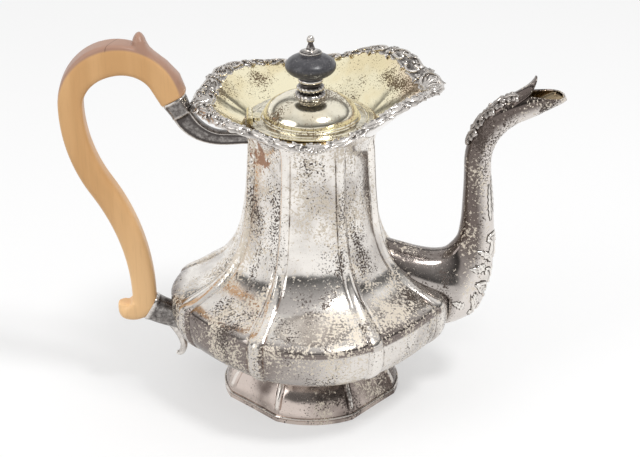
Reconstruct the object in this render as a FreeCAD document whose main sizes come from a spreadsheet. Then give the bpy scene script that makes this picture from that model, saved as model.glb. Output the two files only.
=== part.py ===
import FreeCAD, Part
import math
import os
import Sketcher

# A footed silver coffee pot with a lobed body, an S-shaped spout, a hinged lid and a wooden handle.
# The pot's axis is Z and it stands on z = 0. The spout points along +X and the handle along -X.
# Lengths are in millimetres and angles in degrees.

SIZES = [
    ("wall", 1.2, "thickness of the silver sheet"),
    ("pin_gap", 0.05, "running clearance round a hinge pin, per side"),
    ("bore_gap", 0.1, "clearance round a rod, tenon or cross pin, per side"),
    ("solder_gap", 0.05, "room for solder between a mount and the body"),
    ("swing_gap", 0.4, "clearance beside a moving piece"),
    ("side_panel_half", 20.0, "half angle of the panels under the spout and the handle"),
    ("front_panel_half", 25.5, "half angle of the front and back panels"),
    ("rib_half", 2.9, "half width of a rib on the neck"),
    ("rib_half_belly", 4.2, "half width of a rib at the girth"),
    ("rib_rise", 0.8, "height of a rib above its panel's edge"),
    ("belly_swell", 2.8, "outward swell of a panel's middle at the girth"),
    ("corner_flat", 6.5, "how much flatter the four corner panels are at the girth"),
    ("neck_swell", -0.8, "outward swell of a panel's middle on the neck"),
    ("shoulder_hollow", 2.0, "hollow of a panel's middle on the shoulder"),
    ("foot_swell", 0.4, "outward swell of a panel's middle at the foot"),
    ("foot_radius", 53.2, "radius of the foot's edge at a rib"),
    ("foot_fullness", 1.65, "roundness of the foot's side"),
    ("band_height", 4.0, "height of the foot's band"),
    ("band_overhang", 1.2, "how far the band stands out from the foot"),
    ("waist_radius", 36.0, "radius where foot and bowl meet"),
    ("belly_radius", 83.4, "radius of the bowl at a rib"),
    ("belly_height", 60.0, "height of the bowl's widest level"),
    ("belly_depth", 29.8, "depth of the bowl's curve"),
    ("belly_fullness", 3.0, "squareness of the bowl's curve"),
    ("seam_rise", 6.0, "height of the seam above the bowl's widest level"),
    ("seam_step", 0.5, "step from the bowl in to the neck at the seam"),
    ("neck_height", 174.8, "height of the neck's top"),
    ("shoulder_drop", 16.3, "height over which the shoulder falls away"),
    ("shoulder_power", 1.8, "sharpness of the shoulder"),
    ("throat_radius", 39.0, "inside radius of the throat"),
    ("throat_flare", 1.6, "how far the throat opens out from the radius that the neck narrows to"),
    ("throat_rise", 1.4, "height above the neck's top where the collar starts to flare"),
    ("strainer_radius", 1.6, "radius of a strainer hole"),
    ("strainer_pitch", 5.2, "distance between strainer holes"),
    ("strainer_rise", 7.0, "height of the lowest strainer holes above the seam"),
    ("border_width", 7.0, "width of the cast border"),
    ("border_rise", 1.6, "height of the border's ridge above the collar"),
    ("border_edge", 1.4, "thickness of the border's outer edge"),
    ("rim_scallop", 1.4, "depth of the rim's notches at the ribs"),
    ("rim_spout_reach", 33.5, "reach of the collar's edge beyond the throat, at the spout"),
    ("rim_spout_rise", 24.2, "rise of the collar's edge above the neck's top, at the spout"),
    ("rim_cheek_reach", 28.0, "reach of the collar's edge beyond the throat, beside the spout"),
    ("rim_cheek_rise", 29.2, "rise of the collar's edge above the neck's top, beside the spout"),
    ("rim_side_reach", 29.0, "reach of the collar's edge beyond the throat, at the side"),
    ("rim_side_rise", 14.2, "rise of the collar's edge above the neck's top, at the side"),
    ("rim_heel_reach", 25.5, "reach of the collar's edge beyond the throat, beside the handle"),
    ("rim_heel_rise", 19.2, "rise of the collar's edge above the neck's top, beside the handle"),
    ("rim_back_reach", 22.5, "reach of the collar's edge beyond the throat, at the handle"),
    ("rim_back_rise", 14.7, "rise of the collar's edge above the neck's top, at the handle"),
    ("seat_width", 5.5, "width of the lid's seat, from the throat inward"),
    ("seat_rise", 3.8, "height of the lid's seat above the neck's top"),
    ("lid_lift", 0.2, "clearance between the lid's flange and its seat"),
    ("lid_gap", 1.5, "room between the lid's flange and the throat"),
    ("flange_width", 9.0, "width of the lid's flat flange"),
    ("dome_step", 1.5, "upright step round the dome"),
    ("dome_curve", 23.0, "radius of the dome's arc"),
    ("boss_radius", 9.8, "radius of the flat top of the lid"),
    ("lid_rise", 11.9, "height of the flat top of the lid above its seat"),
    ("bezel_gap", 1.0, "room between the lid's bezel and its seat"),
    ("bezel_drop", 5.3, "depth of the lid's bezel"),
    ("hinge_inset", 3.0, "distance from the throat in to the hinge"),
    ("hinge_rise", 2.3, "height of the hinge above the lid's seat"),
    ("barrel_radius", 1.9, "radius of the hinge's knuckles"),
    ("hinge_pin_radius", 0.9, "radius of the hinge's pin"),
    ("knuckle_half", 4.3, "half length of the lid's knuckle"),
    ("hinge_half", 9.0, "half length of the whole hinge"),
    ("leaf_length", 6.0, "length of the lid's hinge leaf"),
    ("leaf_thick", 1.0, "thickness of the lid's hinge leaf"),
    ("notch_gap", 0.8, "room between the hinge's barrel and the lid's notch"),
    ("stud_radius", 1.5, "radius of the stud through the finial"),
    ("stud_drop", 4.0, "how far the stud hangs below the lid's top"),
    ("nut_radius", 4.0, "corner radius of the nut under the lid"),
    ("nut_height", 2.3, "height of the nut under the lid"),
    ("collar_base", 9.5, "radius of the finial collar's foot ring"),
    ("collar_bead", 8.0, "radius of the finial collar's bead"),
    ("collar_waist", 6.0, "radius of the finial collar's waist"),
    ("collar_top", 7.5, "radius of the finial collar's top ring"),
    ("collar_height", 13.1, "height of the finial collar"),
    ("knob_radius", 15.0, "radius of the knob"),
    ("knob_round", 8.8, "half height of the knob's full curve"),
    ("knob_half", 8.0, "half height of the knob as cut"),
    ("cap_radius", 6.7, "radius of the disc on the knob"),
    ("cap_height", 1.6, "thickness of the disc on the knob"),
    ("cap_ledge", 1.0, "ledge of the disc round the cone's foot"),
    ("cone_radius", 3.2, "radius of the top cone's foot"),
    ("cone_tip", 1.3, "radius of the top cone's neck"),
    ("cone_height", 5.0, "height of the top cone"),
    ("ball_radius", 2.3, "radius of the ball on top"),
    ("stud_reach", 3.3, "how far the stud goes into the top cone"),
    ("spout_root_inset", 35.4, "distance from the bowl's radius in to the spout's first section"),
    ("spout_root_drop", 1.0, "drop of the spout's first section below the bowl's widest level"),
    ("spout_root_angle", 12.0, "upward angle of the spout's root"),
    ("spout_root_run", 24.5, "straight length of the spout's root"),
    ("spout_low_bend", 37.3, "radius of the spout's lower bend"),
    ("spout_upright_angle", 92.0, "angle of the spout's upright run"),
    ("spout_upright_run", 46.0, "length of the spout's upright run"),
    ("spout_high_bend", 37.0, "radius of the spout's upper bend"),
    ("spout_lip_angle", 20.0, "angle of the spout's end"),
    ("spout_lip_run", 27.2, "straight length of the spout's end"),
    ("spout_root_deep", 22.0, "half depth of the spout inside the body"),
    ("spout_root_wide", 18.0, "half width of the spout inside the body"),
    ("spout_base_deep", 25.0, "half depth of the spout at the body"),
    ("spout_base_wide", 20.0, "half width of the spout at the body"),
    ("spout_low_deep", 12.3, "half depth of the spout above its lower bend"),
    ("spout_low_wide", 10.5, "half width of the spout above its lower bend"),
    ("spout_neck_deep", 8.4, "half depth of the spout at its narrowest"),
    ("spout_neck_wide", 7.6, "half width of the spout at its narrowest"),
    ("spout_high_deep", 8.8, "half depth of the spout above its upper bend"),
    ("spout_high_wide", 8.6, "half width of the spout above its upper bend"),
    ("spout_lip_deep", 6.2, "half depth of the spout's end"),
    ("spout_lip_wide", 8.6, "half width of the spout's end"),
    ("mouth_length", 21.4, "level length of the pouring mouth, back from the spout's end"),
    ("mouth_lift", 0.6, "height of the mouth's back above the middle of the spout's end"),
    ("mouth_angle", 9.0, "downward angle of the pouring mouth"),
    ("crest_rise", 2.2, "height of the leaf crest above the spout"),
    ("crest_half", 3.5, "half width of the leaf crest"),
    ("flap_rise", 5.6, "height of the upright leaf behind the pouring mouth"),
    ("crest_drop", 34.0, "drop of the leaf crest's start below the spout's end"),
    ("scroll_rise", 2.4, "height of the base leaf above the spout"),
    ("scroll_half", 6.5, "half width of the base leaf"),
    ("scroll_height", 59.0, "height of the base leaf's end above the spout's first section"),
    ("arm_root_sink", 3.4, "how far inside the neck's radius the upper arm starts"),
    ("arm_drop", 7.5, "drop of the upper arm's root below the neck's top"),
    ("joint_offset", 80.8, "distance from the pot's axis to the upper handle joint"),
    ("joint_rise", 18.1, "height of the upper handle joint above the neck's top"),
    ("joint_angle", 118.0, "direction of the upper handle joint"),
    ("arm_level_run", 18.0, "level length of the upper arm"),
    ("arm_root_deep", 3.4, "half depth of the upper arm's root"),
    ("arm_root_wide", 5.4, "half width of the upper arm's root"),
    ("arm_bend_deep", 4.3, "half depth of the upper arm before its bend"),
    ("arm_bend_wide", 5.4, "half width of the upper arm before its bend"),
    ("arm_cup_deep", 6.3, "half depth of the upper cup's foot"),
    ("arm_cup_wide", 6.6, "half width of the upper cup's foot"),
    ("joint_deep", 7.7, "half depth of the wood and cup at the upper joint"),
    ("joint_wide", 8.0, "half width of the wood and cup at the upper joint"),
    ("tenon_radius", 4.2, "radius of the wood's tenons"),
    ("tenon_length", 10.0, "length of the wood's tenons"),
    ("cross_pin_radius", 1.0, "radius of the pins across the tenons"),
    ("grip_reach", 140.6, "distance from the pot's axis to the middle of the grip's back"),
    ("grip_back_rise", 14.7, "height of the grip's back above the neck's top"),
    ("grip_foot_reach", 19.2, "distance from the bowl's radius out to the grip's foot"),
    ("grip_foot_rise", 2.0, "height of the grip's foot above the bowl's widest level"),
    ("grip_turn_share", 0.41, "share of the grip's sweep above its change of curve"),
    ("arch_deep", 9.6, "half depth of the wood at the top of its arch"),
    ("back_deep", 7.4, "half depth of the wood at its back"),
    ("sweep_deep", 7.8, "half depth of the wood where its curve changes"),
    ("foot_deep", 7.4, "half depth of the wood at its foot"),
    ("grip_wide", 8.0, "half width of the wood's arch"),
    ("grip_foot_wide", 7.0, "half width of the wood's foot"),
    ("thumb_offset", 98.2, "distance from the pot's axis to the thumb rest's tip"),
    ("thumb_rise", 58.8, "height of the thumb rest's tip above the neck's top"),
    ("thumb_back", 4.0, "how far the thumb rest's root lies behind its tip"),
    ("thumb_front", 12.0, "how far the thumb rest's root lies in front of its tip"),
    ("thumb_sink", 2.0, "how far the thumb rest's root sinks into the arch"),
    ("thumb_half", 6.0, "half width of the thumb rest"),
    ("low_joint_reach", 16.0, "distance from the bowl's radius out to the lower handle joint"),
    ("low_joint_drop", 3.9, "drop of the lower handle joint below the bowl's widest level"),
    ("low_joint_angle", 30.0, "downward angle of the lower cup"),
    ("low_joint_deep", 8.7, "half depth of the wood and cup at the lower joint"),
    ("low_joint_wide", 7.0, "half width of the wood and cup at the lower joint"),
    ("low_cup_bend", 75.0, "radius of the lower cup's gentle turn into the body"),
    ("low_root_angle", 8.0, "downward angle of the lower cup's root"),
    ("low_root_deep", 7.6, "half depth of the lower cup's root"),
    ("low_root_wide", 8.2, "half width of the lower cup's root"),
    ("heel_reach", 36.4, "distance from the bowl's radius out to the heel's outermost point"),
    ("heel_drop", 11.0, "drop of the heel's lowest point below the bowl's widest level"),
    ("heel_root", 9.0, "height above the grip's foot where the heel starts"),
    ("heel_round", 6.5, "roundness of the heel's scroll"),
    ("heel_half", 6.8, "half width of the heel"),
    ("tail_inset", 5.9, "distance from the bowl's radius in to the tail leaf's tip"),
    ("tail_drop", 41.4, "drop of the tail leaf's tip below the bowl's widest level"),
    ("tail_length", 25.0, "length of the tail leaf"),
    ("tail_lean", 10.0, "outward lean of the tail leaf"),
    ("tail_half", 4.0, "half width of the tail leaf"),
]

doc = FreeCAD.newDocument("coffee_pot")
sheet = doc.addObject("Spreadsheet::Sheet", "Sizes")
for row, (name, value, note) in enumerate(SIZES, start=1):
    sheet.set(f"A{row}", note)
    sheet.set(f"B{row}", str(value))
    sheet.setAlias(f"B{row}", name)
doc.recompute()


def size(name):
    return float(sheet.get(name))


def point(x, y, z):
    return FreeCAD.Vector(x, y, z)


def polar(radius, angle, z):
    turn = math.radians(angle)
    return point(radius * math.cos(turn), radius * math.sin(turn), z)


def arc(first, middle, last):
    return Part.Arc(first, middle, last).toShape()


# Turned pieces: a closed outline of radii and heights, each one bound to the sheet and spun round Z.
# A corner with a third entry is reached by an arc of that radius, a negative one bulging inward.

def worked_out(text):
    return float(sheet.evalExpression(text))


def arc_between(first, last, radius):
    chord = last - first
    half = chord.Length / 2
    sagitta = abs(radius) - math.sqrt(radius * radius - half * half)
    side = point(chord.y, -chord.x, 0).normalize()
    middle = (first + last) / 2 + side * math.copysign(sagitta, radius)
    return Part.Arc(first, middle, last)


def origin_plane(body, role):
    for feature in body.Origin.OriginFeatures:
        if feature.Role == role:
            return feature
    raise ValueError(role)


def end_at(sketch, edge, place):
    if sketch.getPoint(edge, 1).distanceToPoint(place) < 1e-6:
        return 1
    return 2


def turned(label, corners):
    body = doc.addObject("PartDesign::Body", label)
    sketch = body.newObject("Sketcher::SketchObject", label + "_outline")
    sketch.AttachmentSupport = [(origin_plane(body, "XZ_Plane"), "")]
    sketch.MapMode = "FlatFace"
    places = [point(worked_out(c[0]), worked_out(c[1]), 0) for c in corners]
    count = len(corners)
    for i in range(count):
        last = (i + 1) % count
        if len(corners[last]) == 3:
            sketch.addGeometry(arc_between(places[i], places[last], worked_out(corners[last][2])))
        else:
            sketch.addGeometry(Part.LineSegment(places[i], places[last]))
    for i in range(count):
        last = (i + 1) % count
        sketch.addConstraint(Sketcher.Constraint(
            "Coincident", i, end_at(sketch, i, places[last]), last, end_at(sketch, last, places[last])))
    for i in range(count):
        end = end_at(sketch, i, places[i])
        across = sketch.addConstraint(Sketcher.Constraint("DistanceX", -1, 1, i, end, places[i].x))
        sketch.setExpression(f"Constraints[{across}]", corners[i][0])
        up = sketch.addConstraint(Sketcher.Constraint("DistanceY", -1, 1, i, end, places[i].y))
        sketch.setExpression(f"Constraints[{up}]", corners[i][1])
    for i in range(count):
        if len(corners[i]) == 3:
            edge = (i - 1) % count
            bend = sketch.addConstraint(Sketcher.Constraint("Radius", edge, abs(worked_out(corners[i][2]))))
            sketch.setExpression(f"Constraints[{bend}]", f"abs({corners[i][2]})")
    spin = body.newObject("PartDesign::Revolution", label + "_spin")
    spin.Profile = sketch
    spin.ReferenceAxis = (sketch, ["V_Axis"])
    spin.Angle = 360
    sketch.Visibility = False
    doc.recompute()
    return body


# Plain solids and their joining, each size bound to the sheet.

def bind(thing, **sizes):
    for name, text in sizes.items():
        thing.setExpression(name.replace("_", "."), text)
    return thing


def rod_up(label, radius, base, length):
    rod = doc.addObject("Part::Cylinder", label)
    return bind(rod, Radius=radius, Height=length, Placement_Base_z=base)


def rod_across(label, radius, x, z, start, length):
    rod = doc.addObject("Part::Cylinder", label)
    rod.Placement = FreeCAD.Placement(point(0, 0, 0), FreeCAD.Rotation(point(1, 0, 0), -90))
    return bind(rod, Radius=radius, Height=length,
                Placement_Base_x=x, Placement_Base_y=start, Placement_Base_z=z)


def block(label, length, width, height, x, y, z):
    box = doc.addObject("Part::Box", label)
    return bind(box, Length=length, Width=width, Height=height,
                Placement_Base_x=x, Placement_Base_y=y, Placement_Base_z=z)


def cut(label, base, tool):
    result = doc.addObject("Part::Cut", label)
    result.Base = base
    result.Tool = tool
    return result


def joined(label, *pieces):
    result = doc.addObject("Part::MultiFuse", label)
    result.Shapes = list(pieces)
    return result


def shaped(label, shape):
    feature = doc.addObject("Part::Feature", label)
    feature.Shape = shape
    feature.Placement = FreeCAD.Placement()
    return feature


# The lobed body: eight panels between eight ribs, the ribs placed by the panels' half angles.

side_half = size("side_panel_half")
front_half = size("front_panel_half")
quarter = [side_half, 90 - front_half]
half_turn = quarter + [180 - angle for angle in reversed(quarter)]
RIBS = half_turn + [360 - angle for angle in reversed(half_turn)]
MIDDLES = [(a + b) / 2 for a, b in zip(RIBS, RIBS[1:] + [RIBS[0] + 360])]


def lobed_wire(radius, z, swell, flat, rib_half, rise):
    width = math.degrees(rib_half / radius)
    edges = []
    for i, (rib, middle, after) in enumerate(zip(RIBS, MIDDLES, RIBS[1:] + [RIBS[0] + 360])):
        bulge = swell if i % 2 else swell - flat
        start = polar(radius, rib - width, z)
        end = polar(radius, rib + width, z)
        edges.append(arc(start, polar(radius + rise, rib, z), end))
        edges.append(arc(end, polar(radius + bulge, middle, z), polar(radius, after - width, z)))
    return Part.Wire(edges)


def lobed_solid(stations):
    return Part.makeLoft([lobed_wire(*station) for station in stations], True, False)


def offset_stations(stations, distance):
    moved = []
    for i, (radius, z, swell, flat, rib_half, rise) in enumerate(stations):
        low = stations[max(i - 1, 0)]
        high = stations[min(i + 1, len(stations) - 1)]
        along = point(high[0] - low[0], high[1] - low[1], 0).normalize()
        out_radius = along.y
        out_z = -along.x
        lift = rise if distance > 0 else 0.0
        moved.append((radius + distance * out_radius, z + distance * out_z, swell, flat, rib_half, lift))
    return moved


def stretched(stations, below, above):
    first = list(stations[0])
    last = list(stations[-1])
    first[1] -= below
    last[1] += above
    middle = list(stations)
    return ([tuple(first)] if below else []) + middle + ([tuple(last)] if above else [])


wall = size("wall")
rib_half = size("rib_half")
rib_half_belly = size("rib_half_belly")
rib_rise = size("rib_rise")
belly_radius = size("belly_radius")
belly_height = size("belly_height")
seam_height = belly_height + size("seam_rise")
neck_height = size("neck_height")
waist_radius = size("waist_radius")
neck_radius = size("throat_radius") - size("throat_flare")


def corner_flat(radius):
    return size("corner_flat") * (radius / belly_radius) ** 2


NECK_SPACING = 1.7
LIP_SHARE = 0.15
CUT_PAST = 2.0


def neck_station(share):
    z = seam_height + (neck_height - seam_height) * share ** NECK_SPACING
    fall = 1 / (1 + ((z - seam_height) / size("shoulder_drop")) ** size("shoulder_power"))
    top_fall = 1 / (1 + ((neck_height - seam_height) / size("shoulder_drop")) ** size("shoulder_power"))
    spread = belly_radius - size("seam_step") - neck_radius
    flare = max(0.0, (z - seam_height) / (neck_height - seam_height) - 1 + LIP_SHARE) / LIP_SHARE
    lip = size("throat_radius") + wall - neck_radius - spread * top_fall
    radius = neck_radius + spread * fall + lip * flare ** 2
    level = size("belly_swell") * fall ** 4 + size("neck_swell") * (1 - fall)
    swell = (level - size("shoulder_hollow") * 4 * fall ** 2 * (1 - fall)) * (1 - flare)
    width = rib_half + (rib_half_belly - rib_half) * fall
    return (radius, z, swell, corner_flat(radius) * (1 - flare), width, rib_rise * (1 - flare))


NECK_STEPS = 16
neck_stations = [neck_station(i / NECK_STEPS) for i in range(NECK_STEPS + 1)]


def bowl_station(angle):
    turn = math.radians(angle)
    power = 2 / size("belly_fullness")
    radius = belly_radius * math.sin(turn) ** power
    z = belly_height - size("belly_depth") * max(math.cos(turn), 0.0) ** power
    share = radius / belly_radius
    width = rib_half + (rib_half_belly - rib_half) * share
    return (radius, z, size("belly_swell") * share, corner_flat(radius), width, rib_rise)


BOWL_STEPS = 11
BOWL_LAST_ANGLE = 86
floor_angle = math.degrees(math.asin((waist_radius / belly_radius) ** (size("belly_fullness") / 2)))
bowl_span = BOWL_LAST_ANGLE - floor_angle
bowl_angles = [floor_angle + bowl_span * i / BOWL_STEPS for i in range(BOWL_STEPS + 1)]
bowl_stations = [bowl_station(angle) for angle in bowl_angles]
bowl_stations.append((belly_radius, seam_height, size("belly_swell"), size("corner_flat"), rib_half_belly,
                      rib_rise))
bowl_floor = bowl_stations[0][1]

band_height = size("band_height")


def foot_station(share):
    spread = 1 - share ** size("foot_fullness")
    radius = waist_radius + (size("foot_radius") - waist_radius) * spread
    z = band_height + (bowl_floor - band_height) * share
    swell = bowl_stations[0][2] + (size("foot_swell") - bowl_stations[0][2]) * spread
    return (radius, z, swell, corner_flat(radius), rib_half, rib_rise)


FOOT_STEPS = 8
foot_stations = [foot_station(i / FOOT_STEPS) for i in range(FOOT_STEPS + 1)]

body_gap = size("solder_gap")
bowl_outer = lobed_solid(bowl_stations)
neck_outer = lobed_solid(neck_stations)
clear_body = lobed_solid(offset_stations(bowl_stations, body_gap)).fuse(
    lobed_solid(stretched(offset_stations(neck_stations, body_gap), CUT_PAST, 0.0)))

foot_inner = lobed_solid(stretched(offset_stations(foot_stations, -wall), CUT_PAST, CUT_PAST))
shaped("foot", lobed_solid(foot_stations).cut(foot_inner))

foot_radius = size("foot_radius")
band_swell = size("foot_swell")
band_flat = corner_flat(foot_radius)
band_outer = lobed_wire(foot_radius + size("band_overhang"), 0, band_swell, band_flat, rib_half, rib_rise)
band_inner = lobed_wire(foot_radius - wall, 0, band_swell, band_flat, rib_half, 0.0)
band = Part.makeFace([band_outer, band_inner], "Part::FaceMakerBullseye")
shaped("foot_band", band.extrude(point(0, 0, band_height)))

bowl_inner = lobed_solid(stretched(offset_stations(bowl_stations, -wall), 0.0, CUT_PAST))
shaped("belly_bowl", bowl_outer.cut(bowl_inner))

neck_inner = lobed_solid(stretched(offset_stations(neck_stations, -wall), CUT_PAST, CUT_PAST))
strainer = []
for row in range(3):
    for column in range(-2, 3):
        shift = 0.5 * (row % 2)
        place = point(waist_radius, (column + shift) * size("strainer_pitch"),
                      seam_height + size("strainer_rise") + row * size("strainer_pitch"))
        strainer.append(Part.makeCylinder(size("strainer_radius"), belly_radius, place, point(1, 0, 0)))
shaped("neck_shell", neck_outer.cut(neck_inner).cut(Part.makeCompound(strainer)))

# The collar and its border: eight ruled panels from the round throat to the wavy rim.

RIM = ["spout", "cheek", "side", "heel", "back", "heel", "side", "cheek"]
throat = size("throat_radius")
rim_reach = [throat + size(f"rim_{name}_reach") for name in RIM]
rim_rise = [neck_height + size(f"rim_{name}_rise") for name in RIM]
PANELS = [0.0] + MIDDLES[:7]


def rim_ring(out, up, scallop):
    edges = []
    for k in range(8):
        before = (k - 1) % 8
        after = (k + 1) % 8
        start_reach = (rim_reach[before] + rim_reach[k]) / 2 + out - scallop
        end_reach = (rim_reach[k] + rim_reach[after]) / 2 + out - scallop
        start = polar(start_reach, RIBS[before], (rim_rise[before] + rim_rise[k]) / 2 + up)
        end = polar(end_reach, RIBS[k], (rim_rise[k] + rim_rise[after]) / 2 + up)
        edges.append(arc(start, polar(rim_reach[k] + out, PANELS[k], rim_rise[k] + up), end))
    return edges


def round_ring(radius, z):
    edges = []
    for k in range(8):
        edges.append(arc(polar(radius, RIBS[(k - 1) % 8], z), polar(radius, PANELS[k], z),
                         polar(radius, RIBS[k], z)))
    return edges


def ring_solid(rings):
    faces = []
    for ring, after in zip(rings, rings[1:] + rings[:1]):
        faces.extend(Part.makeRuledSurface(a, b) for a, b in zip(ring, after))
    skin = Part.makeCompound(faces)
    skin.sewShape()
    solid = Part.makeSolid(skin.Shells[0])
    if solid.Volume < 0:
        solid.reverse()
    return solid


scallop = size("rim_scallop")
rim_top = rim_ring(0, 0, scallop)
rim_under = rim_ring(0, -wall, scallop)
shaped("mouth_collar", ring_solid([
    round_ring(throat, neck_height), round_ring(throat, neck_height + size("throat_rise")),
    rim_top, rim_under, round_ring(throat + 2 * wall, neck_height)]))

width = size("border_width")
RIDGE_SHARE = 0.55
ridge = rim_ring(width * RIDGE_SHARE, size("border_rise"), scallop * 1.5)
edge_top = rim_ring(width, 0, scallop * 2)
edge_under = rim_ring(width, -size("border_edge"), scallop * 2)
shaped("rim_border", ring_solid([rim_under, rim_top, ridge, edge_top, edge_under]))

# The lid, its seat and its hinge.

seat_edge = "Sizes.throat_radius - Sizes.seat_width"
seat_top = "Sizes.neck_height + Sizes.seat_rise"
turned("lid_seat_ring", [
    (seat_edge, "Sizes.neck_height"),
    ("Sizes.throat_radius", "Sizes.neck_height"),
    ("Sizes.throat_radius", seat_top),
    (seat_edge, seat_top)])

lid_edge = "Sizes.throat_radius - Sizes.lid_gap"
dome_edge = lid_edge + " - Sizes.flange_width"
lid_top = seat_top + " + Sizes.lid_rise"
flange_low = seat_top + " + Sizes.lid_lift"
flange_top = flange_low + " + Sizes.wall"
dome_low = flange_top + " + Sizes.dome_step"
stud_bore = "Sizes.stud_radius + Sizes.bore_gap"
lid = turned("lid_cover", [
    (dome_edge + " - Sizes.wall", flange_low),
    (lid_edge, flange_low),
    (lid_edge, flange_top),
    (dome_edge, flange_top),
    (dome_edge, dome_low),
    ("Sizes.boss_radius", lid_top, "Sizes.dome_curve"),
    (stud_bore, lid_top),
    (stud_bore, lid_top + " - Sizes.wall"),
    ("Sizes.boss_radius", lid_top + " - Sizes.wall"),
    (dome_edge + " - Sizes.wall", dome_low, "-Sizes.dome_curve")])

notch = lid.newObject("Sketcher::SketchObject", "lid_notch_outline")
notch.AttachmentSupport = [(origin_plane(lid, "XY_Plane"), "")]
notch.MapMode = "FlatFace"
notch_half = "Sizes.hinge_half + Sizes.swing_gap"
hinge_reach = "Sizes.throat_radius - Sizes.hinge_inset"
notch_near = hinge_reach + " - Sizes.barrel_radius - Sizes.notch_gap"
notch_far = lid_edge + " + Sizes.wall"
near = worked_out(notch_near)
far = worked_out(notch_far)
half = worked_out(notch_half)
corners = [point(-near, -half, 0), point(-near, half, 0), point(-far, half, 0), point(-far, -half, 0)]
for i in range(4):
    notch.addGeometry(Part.LineSegment(corners[i], corners[(i + 1) % 4]))
for i in range(4):
    notch.addConstraint(Sketcher.Constraint("Coincident", i, 2, (i + 1) % 4, 1))
for kind, edge in (("Vertical", 0), ("Horizontal", 1), ("Vertical", 2), ("Horizontal", 3)):
    notch.addConstraint(Sketcher.Constraint(kind, edge))
for kind, edge, start, text in (
        ("DistanceX", 0, 1, notch_near), ("DistanceX", 2, 1, notch_far), ("DistanceY", 0, 1, notch_half)):
    datum = notch.addConstraint(Sketcher.Constraint(kind, edge, start, -1, 1, worked_out(text)))
    notch.setExpression(f"Constraints[{datum}]", text)
datum = notch.addConstraint(Sketcher.Constraint("DistanceY", -1, 1, 1, 1, half))
notch.setExpression(f"Constraints[{datum}]", notch_half)
whole_lid = lid.Shape.Volume
pocket = lid.newObject("PartDesign::Pocket", "lid_notch")
pocket.Profile = notch
pocket.Type = "ThroughAll"
pocket.Reversed = True
notch.Visibility = False
doc.recompute()
if not lid.Shape.Volume < whole_lid - 1:
    raise ValueError("the lid's notch removed nothing")

bezel_edge = seat_edge + " - Sizes.bezel_gap"
bezel_low = flange_low + " - Sizes.bezel_drop"
turned("lid_bezel", [
    (bezel_edge + " - Sizes.wall", bezel_low),
    (bezel_edge, bezel_low),
    (bezel_edge, flange_low),
    (bezel_edge + " - Sizes.wall", flange_low)])

hinge_x = f"-({hinge_reach})"
hinge_z = seat_top + " + Sizes.hinge_rise"
pin_bore = "Sizes.hinge_pin_radius + Sizes.pin_gap"
rod_across("hinge_pin", "Sizes.hinge_pin_radius", hinge_x, hinge_z,
           "-Sizes.hinge_half", "2 * Sizes.hinge_half")

lid_barrel = rod_across("lid_barrel", "Sizes.barrel_radius", hinge_x, hinge_z,
                        "-Sizes.knuckle_half", "2 * Sizes.knuckle_half")
lid_strap = block("lid_strap", "Sizes.leaf_length", "2 * Sizes.knuckle_half", "Sizes.leaf_thick",
                  hinge_x, "-Sizes.knuckle_half", flange_top)
lid_bore = rod_across("lid_bore", pin_bore, hinge_x, hinge_z, "-Sizes.hinge_half", "2 * Sizes.hinge_half")
cut("lid_hinge_leaf", joined("lid_leaf_whole", lid_barrel, lid_strap), lid_bore)

knuckle_start = "Sizes.knuckle_half + Sizes.swing_gap"
knuckle_length = "Sizes.hinge_half - Sizes.knuckle_half - Sizes.swing_gap"
knuckles = []
for side, start in (("front", "-Sizes.hinge_half"), ("back", knuckle_start)):
    knuckles.append(rod_across(f"{side}_barrel", "Sizes.barrel_radius", hinge_x, hinge_z,
                               start, knuckle_length))
    knuckles.append(block(f"{side}_post", "1.5 * Sizes.barrel_radius", knuckle_length, "Sizes.hinge_rise",
                          hinge_x + " - 0.75 * Sizes.barrel_radius", start, seat_top))
body_bore = rod_across("body_bore", pin_bore, hinge_x, hinge_z, "-Sizes.hinge_half", "2 * Sizes.hinge_half")
cut("body_hinge_knuckles", joined("body_knuckles_whole", *knuckles), body_bore)

# The finial: a turned collar, a wooden knob, a disc and a cone with a ball, drawn together by a stud.

collar_low = lid_top
knob_low = lid_top + " + Sizes.collar_height"
cap_low = knob_low + " + 2 * Sizes.knob_half"
cone_low = cap_low + " + Sizes.cap_height"


def collar_at(share):
    return f"{collar_low} + {share} * Sizes.collar_height"


turned("finial_collar", [
    (stud_bore, collar_low),
    ("Sizes.collar_base", collar_low),
    ("Sizes.collar_base", collar_at(0.12)),
    ("Sizes.collar_waist", collar_at(0.26)),
    ("Sizes.collar_waist", collar_at(0.36)),
    ("Sizes.collar_bead", collar_at(0.46)),
    ("Sizes.collar_bead", collar_at(0.58)),
    ("Sizes.collar_waist", collar_at(0.68)),
    ("Sizes.collar_waist", collar_at(0.8)),
    ("Sizes.collar_top", collar_at(0.92)),
    ("Sizes.collar_top", knob_low),
    (stud_bore, knob_low)])

knob_full = doc.addObject("Part::Ellipsoid", "knob_full")
bind(knob_full, Radius1="Sizes.knob_round", Radius2="Sizes.knob_radius", Radius3="Sizes.knob_radius",
     Placement_Base_z=knob_low + " + Sizes.knob_half")
knob_trim = rod_up("knob_trim", "Sizes.knob_radius + Sizes.wall", knob_low, "2 * Sizes.knob_half")
knob_solid = doc.addObject("Part::Common", "knob_solid")
knob_solid.Base = knob_full
knob_solid.Tool = knob_trim
knob_bore = rod_up("knob_bore", stud_bore, knob_low, "2 * Sizes.knob_half")
cut("finial_knob", knob_solid, knob_bore)

turned("finial_cap", [
    (stud_bore, cap_low),
    ("Sizes.cap_radius", cap_low),
    ("Sizes.cap_radius", cap_low + " + 0.6 * Sizes.cap_height"),
    ("Sizes.cone_radius + Sizes.cap_ledge", cone_low),
    (stud_bore, cone_low)])

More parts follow.
